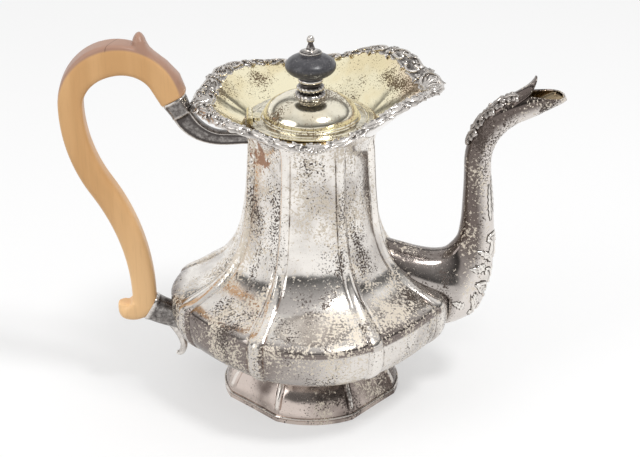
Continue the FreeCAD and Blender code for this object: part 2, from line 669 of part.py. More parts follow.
top_cone = doc.addObject("Part::Cone", "top_cone")
bind(top_cone, Radius1="Sizes.cone_radius", Radius2="Sizes.cone_tip", Height="Sizes.cone_height",
     Placement_Base_z=cone_low)
top_ball = doc.addObject("Part::Sphere", "top_ball")
bind(top_ball, Radius="Sizes.ball_radius",
     Placement_Base_z=cone_low + " + Sizes.cone_height + 0.8 * Sizes.ball_radius")
top_bore = rod_up("top_bore", stud_bore, cone_low, "Sizes.stud_reach + Sizes.bore_gap")
cut("finial_top", joined("top_whole", top_cone, top_ball), top_bore)

rod_up("finial_stud", "Sizes.stud_radius", lid_top + " - Sizes.stud_drop",
       "Sizes.stud_drop + Sizes.collar_height + 2 * Sizes.knob_half + Sizes.cap_height + Sizes.stud_reach")
nut_block = doc.addObject("Part::Prism", "nut_block")
nut_block.Polygon = 6
nut_low = lid_top + " - Sizes.wall - Sizes.nut_height"
bind(nut_block, Circumradius="Sizes.nut_radius", Height="Sizes.nut_height", Placement_Base_z=nut_low)
nut_bore = rod_up("nut_bore", stud_bore, nut_low, "Sizes.nut_height")
cut("finial_nut", nut_block, nut_bore)

# Bent pieces: rounded sections set across a path of straight runs and turns in the XZ plane.

def walk(x, z, heading, legs):
    places = [(x, z, heading, 0.0)]
    for number, (kind, amount, degrees, steps) in enumerate(legs):
        start_x, start_z, start_heading, _ = places[-1]
        for step in range(1, steps + 1):
            share = step / steps
            turn = math.radians(start_heading)
            if kind == "line":
                run = amount * share
                place = (start_x + run * math.cos(turn), start_z + run * math.sin(turn), start_heading)
            else:
                after = turn + math.radians(degrees * share)
                bend = math.copysign(amount, degrees)
                place = (start_x + bend * (math.sin(after) - math.sin(turn)),
                         start_z + bend * (math.cos(turn) - math.cos(after)), math.degrees(after))
            places.append(place + (number + share,))
    return places


def shared(values, place):
    number = min(int(place), len(values) - 2)
    share = place - number
    return values[number] + (values[number + 1] - values[number]) * share


SECTION_POINTS = 16


def section(x, z, heading, deep, wide, power):
    turn = math.radians(heading)
    across = point(-math.sin(turn), 0, math.cos(turn))
    points = []
    for i in range(SECTION_POINTS):
        angle = 2 * math.pi * i / SECTION_POINTS
        along = math.copysign(abs(math.cos(angle)) ** (2 / power), math.cos(angle))
        sideways = math.copysign(abs(math.sin(angle)) ** (2 / power), math.sin(angle))
        points.append(point(x, 0, z) + across * (deep * along) + point(0, wide * sideways, 0))
    curve = Part.BSplineCurve()
    curve.interpolate(points, PeriodicFlag=True)
    return Part.Wire(curve.toShape())


def bent(places, deep, wide, grow, power, ruled=False):
    wires = []
    for x, z, heading, number in places:
        wires.append(section(x, z, heading, shared(deep, number) + grow, shared(wide, number) + grow, power))
    return Part.makeLoft(wires, True, ruled)


def plate(points, half):
    outline = [point(x, -half, z) for x, z in points]
    return Part.Face(Part.makePolygon(outline + outline[:1])).extrude(point(0, 2 * half, 0))


def beside(places, reach, half):
    near = [(x, z) for x, z, heading, number in places]
    far = []
    for x, z, heading, number in places:
        turn = math.radians(heading)
        far.append((x - reach * math.sin(turn), z + reach * math.cos(turn)))
    return plate(near + far[::-1], half)


def beyond(x, z, turn, reach):
    trim = Part.makeBox(reach, 2 * reach, 2 * reach, point(0, -reach, -reach))
    trim.rotate(point(0, 0, 0), point(0, 1, 0), -math.degrees(turn))
    trim.translate(point(x, 0, z))
    return trim


def curved_plate(runs, half):
    edges = []
    for run in runs:
        places = [point(x, -half, z) for x, z in run]
        if len(places) == 2:
            edges.append(Part.LineSegment(places[0], places[1]).toShape())
        else:
            curve = Part.BSplineCurve()
            curve.interpolate(places)
            edges.append(curve.toShape())
    return Part.Face(Part.Wire(edges)).extrude(point(0, 2 * half, 0))


# The spout and its two cast leaves.

spout_rise = size("spout_upright_angle") - size("spout_root_angle")
spout_fall = size("spout_lip_angle") - size("spout_upright_angle")
spout_root_z = belly_height - size("spout_root_drop")
spout_path = walk(belly_radius - size("spout_root_inset"), spout_root_z, size("spout_root_angle"), [
    ("line", size("spout_root_run"), 0, 1),
    ("turn", size("spout_low_bend"), spout_rise, 8),
    ("line", size("spout_upright_run"), 0, 3),
    ("turn", size("spout_high_bend"), spout_fall, 8),
    ("line", size("spout_lip_run"), 0, 2)])
SPOUT = ["root", "base", "low", "neck", "high", "lip"]
spout_deep = [size(f"spout_{name}_deep") for name in SPOUT]
spout_wide = [size(f"spout_{name}_wide") for name in SPOUT]
spout_outer = bent(spout_path, spout_deep, spout_wide, 0.0, 2, True)
lip_turn = math.radians(size("spout_lip_angle"))
root_turn = math.radians(size("spout_root_angle"))
tip_x, tip_z, tip_heading, tip_number = spout_path[-1]
root_x, root_z, root_heading, root_number = spout_path[0]
bore_path = [(root_x - math.cos(root_turn), root_z - math.sin(root_turn), root_heading, root_number)]
bore_path += spout_path[1:-1]
bore_path += [(tip_x + math.cos(lip_turn), tip_z + math.sin(lip_turn), tip_heading, tip_number)]
spout_inner = bent(bore_path, spout_deep, spout_wide, -wall, 2, True)
mouth_x = tip_x - size("mouth_length")
mouth_z = tip_z + size("mouth_lift")
mouth_trim = beyond(0, 0, math.pi / 2, 2 * size("spout_high_bend"))
mouth_trim.rotate(point(0, 0, 0), point(0, 1, 0), size("mouth_angle"))
mouth_trim.translate(point(mouth_x, 0, mouth_z))
shaped("spout_tube", spout_outer.cut(spout_inner).cut(clear_body).cut(mouth_trim))

FLAP_OUTLINE = [(-1.5, -0.77), (-0.5, 0.98), (0.95, 1.68), (0.68, 0.93), (0.04, -0.32)]
crest_start = tip_z - size("crest_drop")
crest_places = [place for place in spout_path if place[1] > crest_start and place[0] < mouth_x]
crest_half = size("crest_half")
crest_region = beside(crest_places, 2 * size("spout_base_deep"), crest_half)
crest_skin = bent(spout_path, spout_deep, spout_wide, size("crest_rise"), 2, True)
crest_clear = bent(spout_path, spout_deep, spout_wide, body_gap, 2, True)
flap_rise = size("flap_rise")
flap = plate([(mouth_x + flap_rise * x, mouth_z + flap_rise * z) for x, z in FLAP_OUTLINE], crest_half)
shaped("spout_crest", crest_skin.common(crest_region).fuse(flap).cut(crest_clear).removeSplitter())

scroll_top = spout_root_z + size("scroll_height")
scroll_places = [place for place in spout_path if place[1] < scroll_top and place[0] > belly_radius]
scroll_region = beside(scroll_places, -2 * size("spout_base_deep"), size("scroll_half"))
scroll_skin = bent(spout_path, spout_deep, spout_wide, size("scroll_rise"), 2, True)
shaped("spout_base_scroll", scroll_skin.common(scroll_region).cut(crest_clear).cut(clear_body))

# The wooden handle: an arch solved between its joint and its back, then an S-shaped sweep to its foot.

joint_x = -size("joint_offset")
joint_z = neck_height + size("joint_rise")
joint_heading = size("joint_angle")
joint_turn = math.radians(joint_heading)


def line_and_turn(dx, dz, line_heading, from_heading, to_heading):
    a = math.radians(from_heading)
    b = math.radians(to_heading)
    side = math.copysign(1, to_heading - from_heading)
    turn_x = side * (math.sin(b) - math.sin(a))
    turn_z = side * (math.cos(a) - math.cos(b))
    line_x = math.cos(math.radians(line_heading))
    line_z = math.sin(math.radians(line_heading))
    scale = line_x * turn_z - line_z * turn_x
    return (dx * turn_z - dz * turn_x) / scale, (line_x * dz - line_z * dx) / scale


back_x = -size("grip_reach")
back_z = neck_height + size("grip_back_rise")
arch_run, arch_bend = line_and_turn(back_x - joint_x, back_z - joint_z, joint_heading, joint_heading, 270)
foot_x = -belly_radius - size("grip_foot_reach")
foot_z = belly_height + size("grip_foot_rise")
sweep = 2 * math.degrees(math.atan2(foot_x - back_x, back_z - foot_z))
sweep_bends = (back_z - foot_z) / math.sin(math.radians(sweep))
turn_share = size("grip_turn_share")
grip_path = walk(joint_x, joint_z, joint_heading, [
    ("line", arch_run, 0, 2),
    ("turn", arch_bend, (270 - joint_heading) / 2, 4),
    ("turn", arch_bend, (270 - joint_heading) / 2, 4),
    ("turn", sweep_bends * turn_share, sweep, 3),
    ("turn", sweep_bends * (1 - turn_share), -sweep, 4)])
grip_deep = [size("joint_deep"), size("joint_deep"), size("arch_deep"), size("back_deep"),
             size("sweep_deep"), size("foot_deep")]
grip_wide = [size("joint_wide"), size("joint_wide"), size("grip_wide"), size("grip_wide"),
             size("grip_wide"), size("grip_foot_wide")]
grip = bent(grip_path, grip_deep, grip_wide, 0.0, 3)

thumb_x = -size("thumb_offset")
thumb_z = neck_height + size("thumb_rise")
thumb_back = size("thumb_back")
thumb_front = size("thumb_front")
arch_top = max(z for x, z, heading, number in grip_path)
thumb_root = arch_top - size("thumb_sink")
thumb = curved_plate([
    [(thumb_x - thumb_back, arch_top), (thumb_x - 0.85 * thumb_back, (arch_top + thumb_z) / 2),
     (thumb_x, thumb_z)],
    [(thumb_x, thumb_z), (thumb_x + thumb_front / 3, thumb_z - 0.54 * thumb_front),
     (thumb_x + thumb_front, thumb_root)],
    [(thumb_x + thumb_front, thumb_root), (thumb_x - thumb_back, arch_top)]], size("thumb_half"))

low_x = -belly_radius - size("low_joint_reach")
low_z = belly_height - size("low_joint_drop")
low_heading = -size("low_joint_angle")
low_turn = math.radians(low_heading)
low_deep = size("low_joint_deep")
low_top = (low_x - low_deep * math.sin(low_turn), low_z + low_deep * math.cos(low_turn))
low_under = (low_x + low_deep * math.sin(low_turn), low_z - low_deep * math.cos(low_turn))
heel_x = -belly_radius - size("heel_reach")
heel_z = belly_height - size("heel_drop")
heel_top = foot_z + size("heel_root")
heel_round = size("heel_round")
foot_deep = size("foot_deep")
heel = curved_plate([
    [low_under, low_top],
    [low_top, (foot_x + foot_deep, heel_top)],
    [(foot_x + foot_deep, heel_top), (foot_x - foot_deep, heel_top)],
    [(foot_x - foot_deep, heel_top), (heel_x + heel_round / 2, foot_z + heel_round / 4),
     (heel_x, (foot_z + heel_z) / 2), (heel_x + heel_round, heel_z), low_under]], size("heel_half"))


def tenon(x, z, turn, radius, length):
    along = point(math.cos(turn), 0, math.sin(turn))
    start = point(x, 0, z) - along * radius
    return Part.makeCylinder(radius, length + radius, start, along)


def cross_hole(x, z, turn, radius, half):
    reach = size("tenon_length") / 2
    start = point(x + reach * math.cos(turn), -half, z + reach * math.sin(turn))
    return Part.makeCylinder(radius, 2 * half, start, point(0, 1, 0))


into_arm = joint_turn + math.pi
tenon_radius = size("tenon_radius")
tenon_length = size("tenon_length")
bore_gap = size("bore_gap")
pin_radius = size("cross_pin_radius")
wide = 2 * size("joint_wide")
upper_hole = cross_hole(joint_x, joint_z, into_arm, pin_radius + bore_gap, wide)
lower_hole = cross_hole(low_x, low_z, low_turn, pin_radius + bore_gap, wide)
grip = grip.fuse(thumb).fuse(heel)
grip = grip.cut(beyond(joint_x, joint_z, into_arm, 2 * size("joint_deep")))
grip = grip.cut(beyond(low_x, low_z, low_turn, 2 * low_deep))
grip = grip.fuse(tenon(joint_x, joint_z, into_arm, tenon_radius, tenon_length))
grip = grip.fuse(tenon(low_x, low_z, low_turn, tenon_radius, tenon_length))
shaped("handle_grip", grip.cut(upper_hole).cut(lower_hole))

# The two silver cups that hold the wood, with their cross pins and the tail leaf.

arm_x = size("arm_root_sink") - neck_radius
arm_z = neck_height - size("arm_drop")
level_run = size("arm_level_run")
cup_run, arm_bend = line_and_turn(
    joint_x - arm_x + level_run, joint_z - arm_z, joint_heading, 180, joint_heading)
arm_path = walk(arm_x, arm_z, 180, [
    ("line", level_run, 0, 2),
    ("turn", arm_bend, joint_heading - 180, 5),
    ("line", cup_run, 0, 2)])
ARM = ["arm_root", "arm_bend", "arm_cup", "joint"]
arm_deep = [size(f"{name}_deep") for name in ARM]
arm_wide = [size(f"{name}_wide") for name in ARM]
CUP_POWER = 2.5
arm = bent(arm_path, arm_deep, arm_wide, 0.0, CUP_POWER)
arm = arm.cut(clear_body)
arm = arm.cut(tenon(joint_x, joint_z, into_arm, tenon_radius + bore_gap, tenon_length + bore_gap))
shaped("upper_socket", arm.cut(upper_hole))

cup_turn = size("low_joint_angle") - size("low_root_angle")
cup_path = walk(low_x, low_z, low_heading, [("turn", size("low_cup_bend"), cup_turn, 4)])
cup_deep = [low_deep, size("low_root_deep")]
cup_wide = [size("low_joint_wide"), size("low_root_wide")]
cup = bent(cup_path, cup_deep, cup_wide, 0.0, CUP_POWER)
cup = cup.cut(clear_body)
cup = cup.cut(tenon(low_x, low_z, low_turn, tenon_radius + bore_gap, tenon_length + bore_gap))
shaped("lower_socket", cup.cut(lower_hole))

shaped("upper_socket_pin", cross_hole(joint_x, joint_z, into_arm, pin_radius, size("arm_cup_wide")))
shaped("lower_socket_pin", cross_hole(low_x, low_z, low_turn, pin_radius, size("low_joint_wide")))

tail_x = size("tail_inset") - belly_radius
tail_z = belly_height - size("tail_drop")
tail_length = size("tail_length")
tail_lean = size("tail_lean")
TAIL_BACK = [(-1.0, 1.0), (-0.45, 0.68), (-0.12, 0.36), (0.0, 0.0)]
TAIL_FRONT = [(0.0, 0.0), (0.35, 0.2), (0.3, 0.48), (0.1, 1.0)]
tail_back = [(tail_x + tail_lean * x, tail_z + tail_length * z) for x, z in TAIL_BACK]
tail_front = [(tail_x + tail_lean * x, tail_z + tail_length * z) for x, z in TAIL_FRONT]
tail = curved_plate([tail_back, tail_front, [tail_front[-1], tail_back[0]]], size("tail_half"))
clear_cup = bent(cup_path, cup_deep, cup_wide, body_gap, CUP_POWER)
shaped("lower_socket_leaf", tail.cut(clear_cup).cut(clear_body))

# Every piece is checked and written to its own file.

NODES = [
    "foot_band", "foot", "belly_bowl", "neck_shell", "mouth_collar", "rim_border",
    "spout_tube", "spout_crest", "spout_base_scroll",
    "upper_socket", "lower_socket", "lower_socket_leaf",
    "handle_grip", "upper_socket_pin", "lower_socket_pin",
    "lid_seat_ring", "body_hinge_knuckles", "hinge_pin", "lid_cover", "lid_bezel", "lid_hinge_leaf",
    "finial_collar", "finial_knob", "finial_cap", "finial_top", "finial_stud", "finial_nut"]

doc.recompute()
for thing in doc.Objects:
    if "Invalid" in thing.State or "Error" in thing.State:
        raise ValueError(f"{thing.Label} did not build")
pieces = {node: doc.getObjectsByLabel(node)[0] for node in NODES}
unsound = [node for node, piece in pieces.items() if piece.Shape.isNull() or not piece.Shape.isValid()]
if unsound:
    raise ValueError(f"not sound: {unsound}")
os.makedirs("parts", exist_ok=True)
for node, piece in pieces.items():
    piece.Shape.exportStep(f"parts/{node}.step")
    box = piece.Shape.BoundBox
    print(f"{node}: {len(piece.Shape.Solids)} solid, {piece.Shape.Volume:.0f} mm3, "
          f"x {box.XMin:.1f}..{box.XMax:.1f}, y {box.YMin:.1f}..{box.YMax:.1f}, "
          f"z {box.ZMin:.1f}..{box.ZMax:.1f}")
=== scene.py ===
# %% [markdown]
# # A silver coffee pot
# The CAD model gives every piece its place and size. This lesson dresses it: the lobed body, the gilt
# collar and lid, the cast border, the spout and the wooden handle are modelled again with their real
# relief, and each one rides on the CAD body that it belongs to.

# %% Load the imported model
import math
import bmesh
import bpy
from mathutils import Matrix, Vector, noise


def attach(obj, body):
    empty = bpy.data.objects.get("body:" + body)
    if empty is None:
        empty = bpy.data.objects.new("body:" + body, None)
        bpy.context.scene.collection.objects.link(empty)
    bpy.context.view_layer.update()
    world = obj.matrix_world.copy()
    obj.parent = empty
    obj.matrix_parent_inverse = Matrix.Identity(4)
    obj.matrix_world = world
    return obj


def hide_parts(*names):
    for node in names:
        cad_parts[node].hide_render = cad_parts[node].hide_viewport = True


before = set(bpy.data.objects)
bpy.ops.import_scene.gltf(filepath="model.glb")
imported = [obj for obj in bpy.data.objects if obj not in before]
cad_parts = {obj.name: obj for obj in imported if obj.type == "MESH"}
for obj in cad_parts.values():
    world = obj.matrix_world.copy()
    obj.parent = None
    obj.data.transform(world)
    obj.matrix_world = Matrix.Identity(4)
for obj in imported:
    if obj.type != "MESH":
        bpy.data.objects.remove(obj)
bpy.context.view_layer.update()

# %% [markdown]
# ## Two ways of making a mesh
# Silver is raised over stakes, so most of the pot is round. A short line of vertices is spun round Z, and
# then every vertex is sent to its real place by a small function of its row and its turn. The spout and
# the handle are long and bent, so there a ring is extruded from one station to the next. A spun piece can
# also carry a painted number at each vertex, which marks dirt with painted shade in the creases and a
# painted highlight on the crowns, and which its finish reads later. Lengths are in millimetres until a
# piece is finished, when its mesh is scaled to metres.

# %% Spin and sweep
MILLIMETRE = 0.001


def spun(rows, steps, place, closed, paint=None):
    mesh = bmesh.new()
    # The per-vertex number carries dirt with painted shade in the creases and a painted highlight on the
    # crowns.
    dirt_and_painted_light = mesh.verts.layers.float.new("dirt_and_painted_light")
    line = [mesh.verts.new((1.0 + row, 0, 0)) for row in range(rows)]
    edges = [mesh.edges.new(pair) for pair in zip(line, line[1:])]
    if closed:
        edges.append(mesh.edges.new((line[-1], line[0])))
    bmesh.ops.spin(mesh, geom=line + edges, cent=(0, 0, 0), axis=(0, 0, 1), angle=2 * math.pi,
                   steps=steps, use_merge=True)
    for vert in mesh.verts:
        turn = math.atan2(vert.co.y, vert.co.x) % (2 * math.pi)
        row = round(math.hypot(vert.co.x, vert.co.y)) - 1
        vert[dirt_and_painted_light] = paint(row, turn) if paint else 0.0
        vert.co = place(row, turn)
    bmesh.ops.remove_doubles(mesh, verts=mesh.verts, dist=0.002)
    bmesh.ops.recalc_face_normals(mesh, faces=mesh.faces)
    return mesh


def round_place(profile):
    def place(row, turn):
        radius, height = profile[row]
        return Vector((radius * math.cos(turn), radius * math.sin(turn), height))
    return place


def swept(stations, count, place, capped=True):
    mesh = bmesh.new()
    ring = bmesh.ops.create_circle(mesh, segments=count, radius=1.0)["verts"]
    number = {vert: i for i, vert in enumerate(ring)}
    edges = list(mesh.edges)
    for vert, i in number.items():
        vert.co = place(stations[0], 2 * math.pi * i / count)
    for station in stations[1:]:
        made = bmesh.ops.extrude_edge_only(mesh, edges=edges)["geom"]
        fresh = [part for part in made if isinstance(part, bmesh.types.BMVert)]
        known = set(fresh)
        edges = [part for part in made if isinstance(part, bmesh.types.BMEdge) and set(part.verts) <= known]
        following = {}
        for vert in fresh:
            before = next(e.other_vert(vert) for e in vert.link_edges if e.other_vert(vert) in number)
            following[vert] = number[before]
        number = following
        for vert, i in number.items():
            vert.co = place(station, 2 * math.pi * i / count)
    if capped:
        bmesh.ops.holes_fill(mesh, edges=[edge for edge in mesh.edges if edge.is_boundary])
    bmesh.ops.recalc_face_normals(mesh, faces=mesh.faces)
    return mesh


def merge_into(mesh, part):
    data = bpy.data.meshes.new("part")
    part.to_mesh(data)
    part.free()
    mesh.from_mesh(data)
    bpy.data.meshes.remove(data)


def finished(mesh, name, body, finishes, replaced=(), crease=38):
    bmesh.ops.scale(mesh, vec=(MILLIMETRE,) * 3, verts=mesh.verts)
    data = bpy.data.meshes.new(name)
    for face in mesh.faces:
        face.smooth = True
    mesh.to_mesh(data)
    mesh.free()
    data.set_sharp_from_angle(angle=math.radians(crease))
    piece = bpy.data.objects.new(name, data)
    bpy.context.scene.collection.objects.link(piece)
    for finish in finishes:
        data.materials.append(finish)
    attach(piece, body)
    if replaced:
        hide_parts(*replaced)
    print(name, len(data.polygons), "faces")
    return piece


# %% [markdown]
# ## Node helpers
# Every finish is procedural and reads Object coordinates, so a pattern stays on the metal when a piece
# moves. These helpers keep the recipes short: add a node, threshold a value softly, mix two colours.

# %% Node helpers
def start_finish(name):
    finish = bpy.data.materials.new(name)
    finish.use_nodes = True
    tree = finish.node_tree
    shader = tree.nodes["Principled BSDF"]
    coords = tree.nodes.new("ShaderNodeTexCoord").outputs["Object"]
    return finish, tree, shader, coords


def feed(tree, socket, value):
    if isinstance(value, bpy.types.NodeSocket):
        tree.links.new(value, socket)
    else:
        socket.default_value = value


def cloud(tree, coords, scale, detail=3.0, rough=0.6, stretch=(1, 1, 1)):
    if stretch != (1, 1, 1):
        mapping = tree.nodes.new("ShaderNodeMapping")
        mapping.inputs["Scale"].default_value = stretch
        tree.links.new(coords, mapping.inputs["Vector"])
        coords = mapping.outputs["Vector"]
    node = tree.nodes.new("ShaderNodeTexNoise")
    tree.links.new(coords, node.inputs["Vector"])
    node.inputs["Scale"].default_value = scale
    node.inputs["Detail"].default_value = detail
    node.inputs["Roughness"].default_value = rough
    return node.outputs[0]


def reckon(tree, operation, *values):
    node = tree.nodes.new("ShaderNodeMath")
    node.operation = operation
    for socket, value in zip(node.inputs, values):
        feed(tree, socket, value)
    return node.outputs[0]


def between(tree, value, low, high, first=0.0, last=1.0):
    node = tree.nodes.new("ShaderNodeMapRange")
    node.interpolation_type = "SMOOTHSTEP"
    for socket, number in zip(node.inputs, (value, low, high, first, last)):
        feed(tree, socket, number)
    return node.outputs[0]


def blend(tree, share, first, second):
    node = tree.nodes.new("ShaderNodeMix")
    node.data_type = "RGBA"
    feed(tree, node.inputs[0], share)
    for socket, colour in ((node.inputs[6], first), (node.inputs[7], second)):
        feed(tree, socket, colour if isinstance(colour, bpy.types.NodeSocket) else (*colour, 1.0))
    return node.outputs[2]


def along_axes(tree, coords):
    node = tree.nodes.new("ShaderNodeSeparateXYZ")
    tree.links.new(coords, node.inputs[0])
    return node.outputs


def far_from(tree, coords, place):
    node = tree.nodes.new("ShaderNodeVectorMath")
    node.operation = "DISTANCE"
    tree.links.new(coords, node.inputs[0])
    node.inputs[1].default_value = place
    return node.outputs["Value"]


def relief(tree, shader, height, depth):
    node = tree.nodes.new("ShaderNodeBump")
    node.inputs["Distance"].default_value = depth
    tree.links.new(height, node.inputs["Height"])
    tree.links.new(node.outputs["Normal"], shader.inputs["Normal"])


print("node helpers ready")

# %% [markdown]
# ## Worn silver plate
# Old plate is a mirror that has broken up. Three layers are mixed: the mirror itself, matte cream flecks
# where the polish has gone, and dark pits where the plate has. Each layer's mask is a slow cloud added to
# a fine one before the threshold, so that a patch frays into specks at its edge. The painted number is
# positive in the creases beside a rib, which go dark brown, copper-brown on the left, as dirt and as painted
# shade in the groove. It is negative on the rib's crown, which is painted brighter as a highlight and keeps
# more of its polish. How dark the mirror is depends on the place. Slow stains dull it at random and the foot
# is dark. Besides these, the left of the bowl is painted darker as shade, a band over the girth is painted
# dark as a reflection of the room, and the spout is darker higher up and painted lighter on its outer side
# as lit metal, so its inner side is among the darkest. One patch of bare copper shows on the neck.

# %% Worn silver plate
FLECK = (0.78, 0.70, 0.59)
PIT = (0.075, 0.055, 0.045)
# Dark brown and copper-brown for the creases beside the ribs: dirt, and painted shade in the groove.
DIRT_AND_SHADE = (0.075, 0.048, 0.036)
RUST_AND_SHADE = (0.15, 0.075, 0.042)
COPPER = (0.34, 0.16, 0.08)
BARE_SPOT = (-0.0335, -0.0225, 0.1630)


def frayed(tree, coords, slow, fine, level, stretch):
    patch = cloud(tree, coords, slow, 3.0, 0.55, stretch)
    grain = cloud(tree, coords, fine, 2.5, 0.65)
    both = reckon(tree, "MULTIPLY_ADD", patch, 0.45, reckon(tree, "MULTIPLY", grain, 0.55))
    return between(tree, both, level, level + 0.04)


def painted(tree, name):
    node = tree.nodes.new("ShaderNodeAttribute")
    node.attribute_name = name
    return node.outputs["Fac"]


def worn_plate(name, bright, dull, dullness_and_shade_share, fleck_level, pit_level):
    finish, tree, shader, coords = start_finish(name)
    flecked = frayed(tree, coords, 36, 620, fleck_level, (1.0, 1.0, 0.7))
    pitted = frayed(tree, coords, 58, 900, pit_level, (1.0, 1.0, 0.35))
    # The per-vertex number: positive in the creases (dirt and painted shade), negative on rib crowns (painted
    # highlight).
    dirt_and_painted_light = painted(tree, "dirt_and_painted_light")
    mottle = cloud(tree, coords, 240, 3.0, 0.65)
    # Painted highlight: the rib's crown is blended towards a bright mirror colour and loses fewer flecks.
    crown_highlight = between(tree, dirt_and_painted_light, -0.35, -0.75)
    kept = between(tree, crown_highlight, 0.0, 1.0, 1.0, 0.85)
    spoiled = reckon(tree, "MULTIPLY", reckon(tree, "MAXIMUM", flecked, pitted), kept)
    colour = blend(tree, dullness_and_shade_share(tree, coords), bright, dull)
    colour = blend(tree, reckon(tree, "MULTIPLY", crown_highlight, 0.6), colour, (0.86, 0.82, 0.77))
    colour = blend(tree, reckon(tree, "MULTIPLY", spoiled, flecked), colour, FLECK)
    colour = blend(tree, reckon(tree, "MULTIPLY", spoiled, pitted), colour, PIT)
    fine = reckon(tree, "MULTIPLY", mottle, 0.8)
    broken = reckon(tree, "MULTIPLY_ADD", cloud(tree, coords, 45, 3.0), 1.1, fine)
    # Painted shade with dirt: the creases beside a rib go dark brown, copper-brown on the left.
    crease = between(tree, reckon(tree, "MULTIPLY_ADD", dirt_and_painted_light, 0.75, broken), 1.48, 1.88, 0.0, 0.92)
    left = between(tree, along_axes(tree, coords)["X"], 0.0, -0.03)
    colour = blend(tree, crease, colour, blend(tree, left, DIRT_AND_SHADE, RUST_AND_SHADE))
    edge = reckon(tree, "MULTIPLY_ADD", mottle, 0.032, far_from(tree, coords, BARE_SPOT))
    bare = between(tree, edge, 0.0225, 0.0240, 0.85, 0.0)
    colour = blend(tree, bare, colour, COPPER)
    tree.links.new(colour, shader.inputs["Base Color"])
    bared = reckon(tree, "MAXIMUM", crease, reckon(tree, "MULTIPLY", bare, 0.6))
    lost = reckon(tree, "MAXIMUM", spoiled, bared)
    tree.links.new(reckon(tree, "MULTIPLY_ADD", lost, -0.68, 1.0), shader.inputs["Metallic"])
    tree.links.new(reckon(tree, "MULTIPLY_ADD", lost, 0.38, 0.13), shader.inputs["Roughness"])
    relief(tree, shader, cloud(tree, coords, 75, 2.0), 0.00012)
    return finish


def body_stain_reflection_and_shade(tree, coords):
    axes = along_axes(tree, coords)
    drift = cloud(tree, coords, 24, 3.0)
    stained = between(tree, drift, 0.42, 0.66, 0.0, 0.52)
    # Painted shade: below the seam, the bowl's left side is painted with the dark mirror colour.
    low = between(tree, axes["Z"], 0.0662, 0.0656)
    side = between(tree, reckon(tree, "MULTIPLY_ADD", drift, -0.05, axes["X"]), 0.0, -0.06, 0.22, 1.0)
    # Painted reflection: a dark band just above the seam stands for the dark room mirrored in the girth's
    # curve.
    over_seam = reckon(tree, "MULTIPLY_ADD", drift, 0.012, axes["Z"])
    above = between(tree, axes["Z"], 0.0620, 0.0640)
    girth_reflection = reckon(tree, "MULTIPLY", above, between(tree, over_seam, 0.080, 0.073))
    upper = reckon(tree, "MAXIMUM", stained, girth_reflection)
    return reckon(tree, "MAXIMUM", upper, reckon(tree, "MULTIPLY", low, side))


def slow_dullness(tree, coords):
    return between(tree, cloud(tree, coords, 24, 3.0), 0.40, 0.66)


# Painted light: the spout is painted lighter on its outer side as lit metal; it is also darker higher up.
def spout_dullness_and_painted_light(tree, coords):
    height = along_axes(tree, coords)["Z"]
    risen = reckon(tree, "MULTIPLY_ADD", cloud(tree, coords, 60, 3.0), 0.03, height)
    return reckon(tree, "SUBTRACT", between(tree, risen, 0.080, 0.120, 0.45, 1.0), painted(tree, "outer"))


plate_silver = worn_plate("plate_silver", (0.90, 0.86, 0.81), (0.22, 0.185, 0.17),
                          body_stain_reflection_and_shade, 0.512, 0.545)
spout_silver = worn_plate("spout_silver", (0.74, 0.69, 0.65), (0.15, 0.122, 0.11),
                          spout_dullness_and_painted_light, 0.548, 0.545)
foot_silver = worn_plate("foot_silver", (0.64, 0.55, 0.50), (0.13, 0.10, 0.088),
                         slow_dullness, 0.560, 0.545)
plain_silver = worn_plate("plain_silver", (0.88, 0.85, 0.81), (0.60, 0.55, 0.51),
                          slow_dullness, 0.580, 0.600)
print("silver plate mixed in four states of wear")

# %% [markdown]
# ## Gold wash
# The inside of the collar and the lid were gilded, and the gold has worn to pale straw. It is a mirror
# like the silver, with brown specks that gather in patches, and the collar has a rosy bloom beside the
# spout. The lid has lost more of its gold, and inside the spout it is brown.

# %% Gold wash
def gold_wash(name, straw, deep, speck_level, bloom):
    finish, tree, shader, coords = start_finish(name)
    colour = blend(tree, between(tree, cloud(tree, coords, 34, 3.0), 0.42, 0.66), straw, deep)
    side = along_axes(tree, coords)["X"]
    drifted = reckon(tree, "MULTIPLY_ADD", cloud(tree, coords, 50, 3.0), 0.03, side)
    rosy = between(tree, drifted, 0.062, 0.082, 0.0, bloom)
    colour = blend(tree, rosy, colour, (0.83, 0.60, 0.47))
    specks = frayed(tree, coords, 44, 1000, speck_level, (1, 1, 1))
    colour = blend(tree, specks, colour, (0.14, 0.095, 0.05))
    tree.links.new(colour, shader.inputs["Base Color"])
    tree.links.new(reckon(tree, "MULTIPLY_ADD", specks, -0.6, 1.0), shader.inputs["Metallic"])
    tree.links.new(reckon(tree, "MULTIPLY_ADD", specks, 0.35, 0.15), shader.inputs["Roughness"])
    relief(tree, shader, cloud(tree, coords, 85, 2.0), 0.0002)
    return finish


gilt = gold_wash("gilt_wash", (0.95, 0.88, 0.64), (0.88, 0.77, 0.50), 0.556, 0.75)
spout_gilt = gold_wash("spout_gilt", (0.36, 0.28, 0.18), (0.22, 0.165, 0.11), 0.555, 0.0)
lid_gilt = gold_wash("lid_gilt", (0.90, 0.85, 0.70), (0.76, 0.69, 0.54), 0.538, 0.0)
print("gold wash mixed")

# %% [markdown]
# ## Cast silver
# Cast leaves and scrolls keep black tarnish in their hollows, and hands polish their high places. The
# Geometry node's Pointiness tells the two apart on the mesh itself.

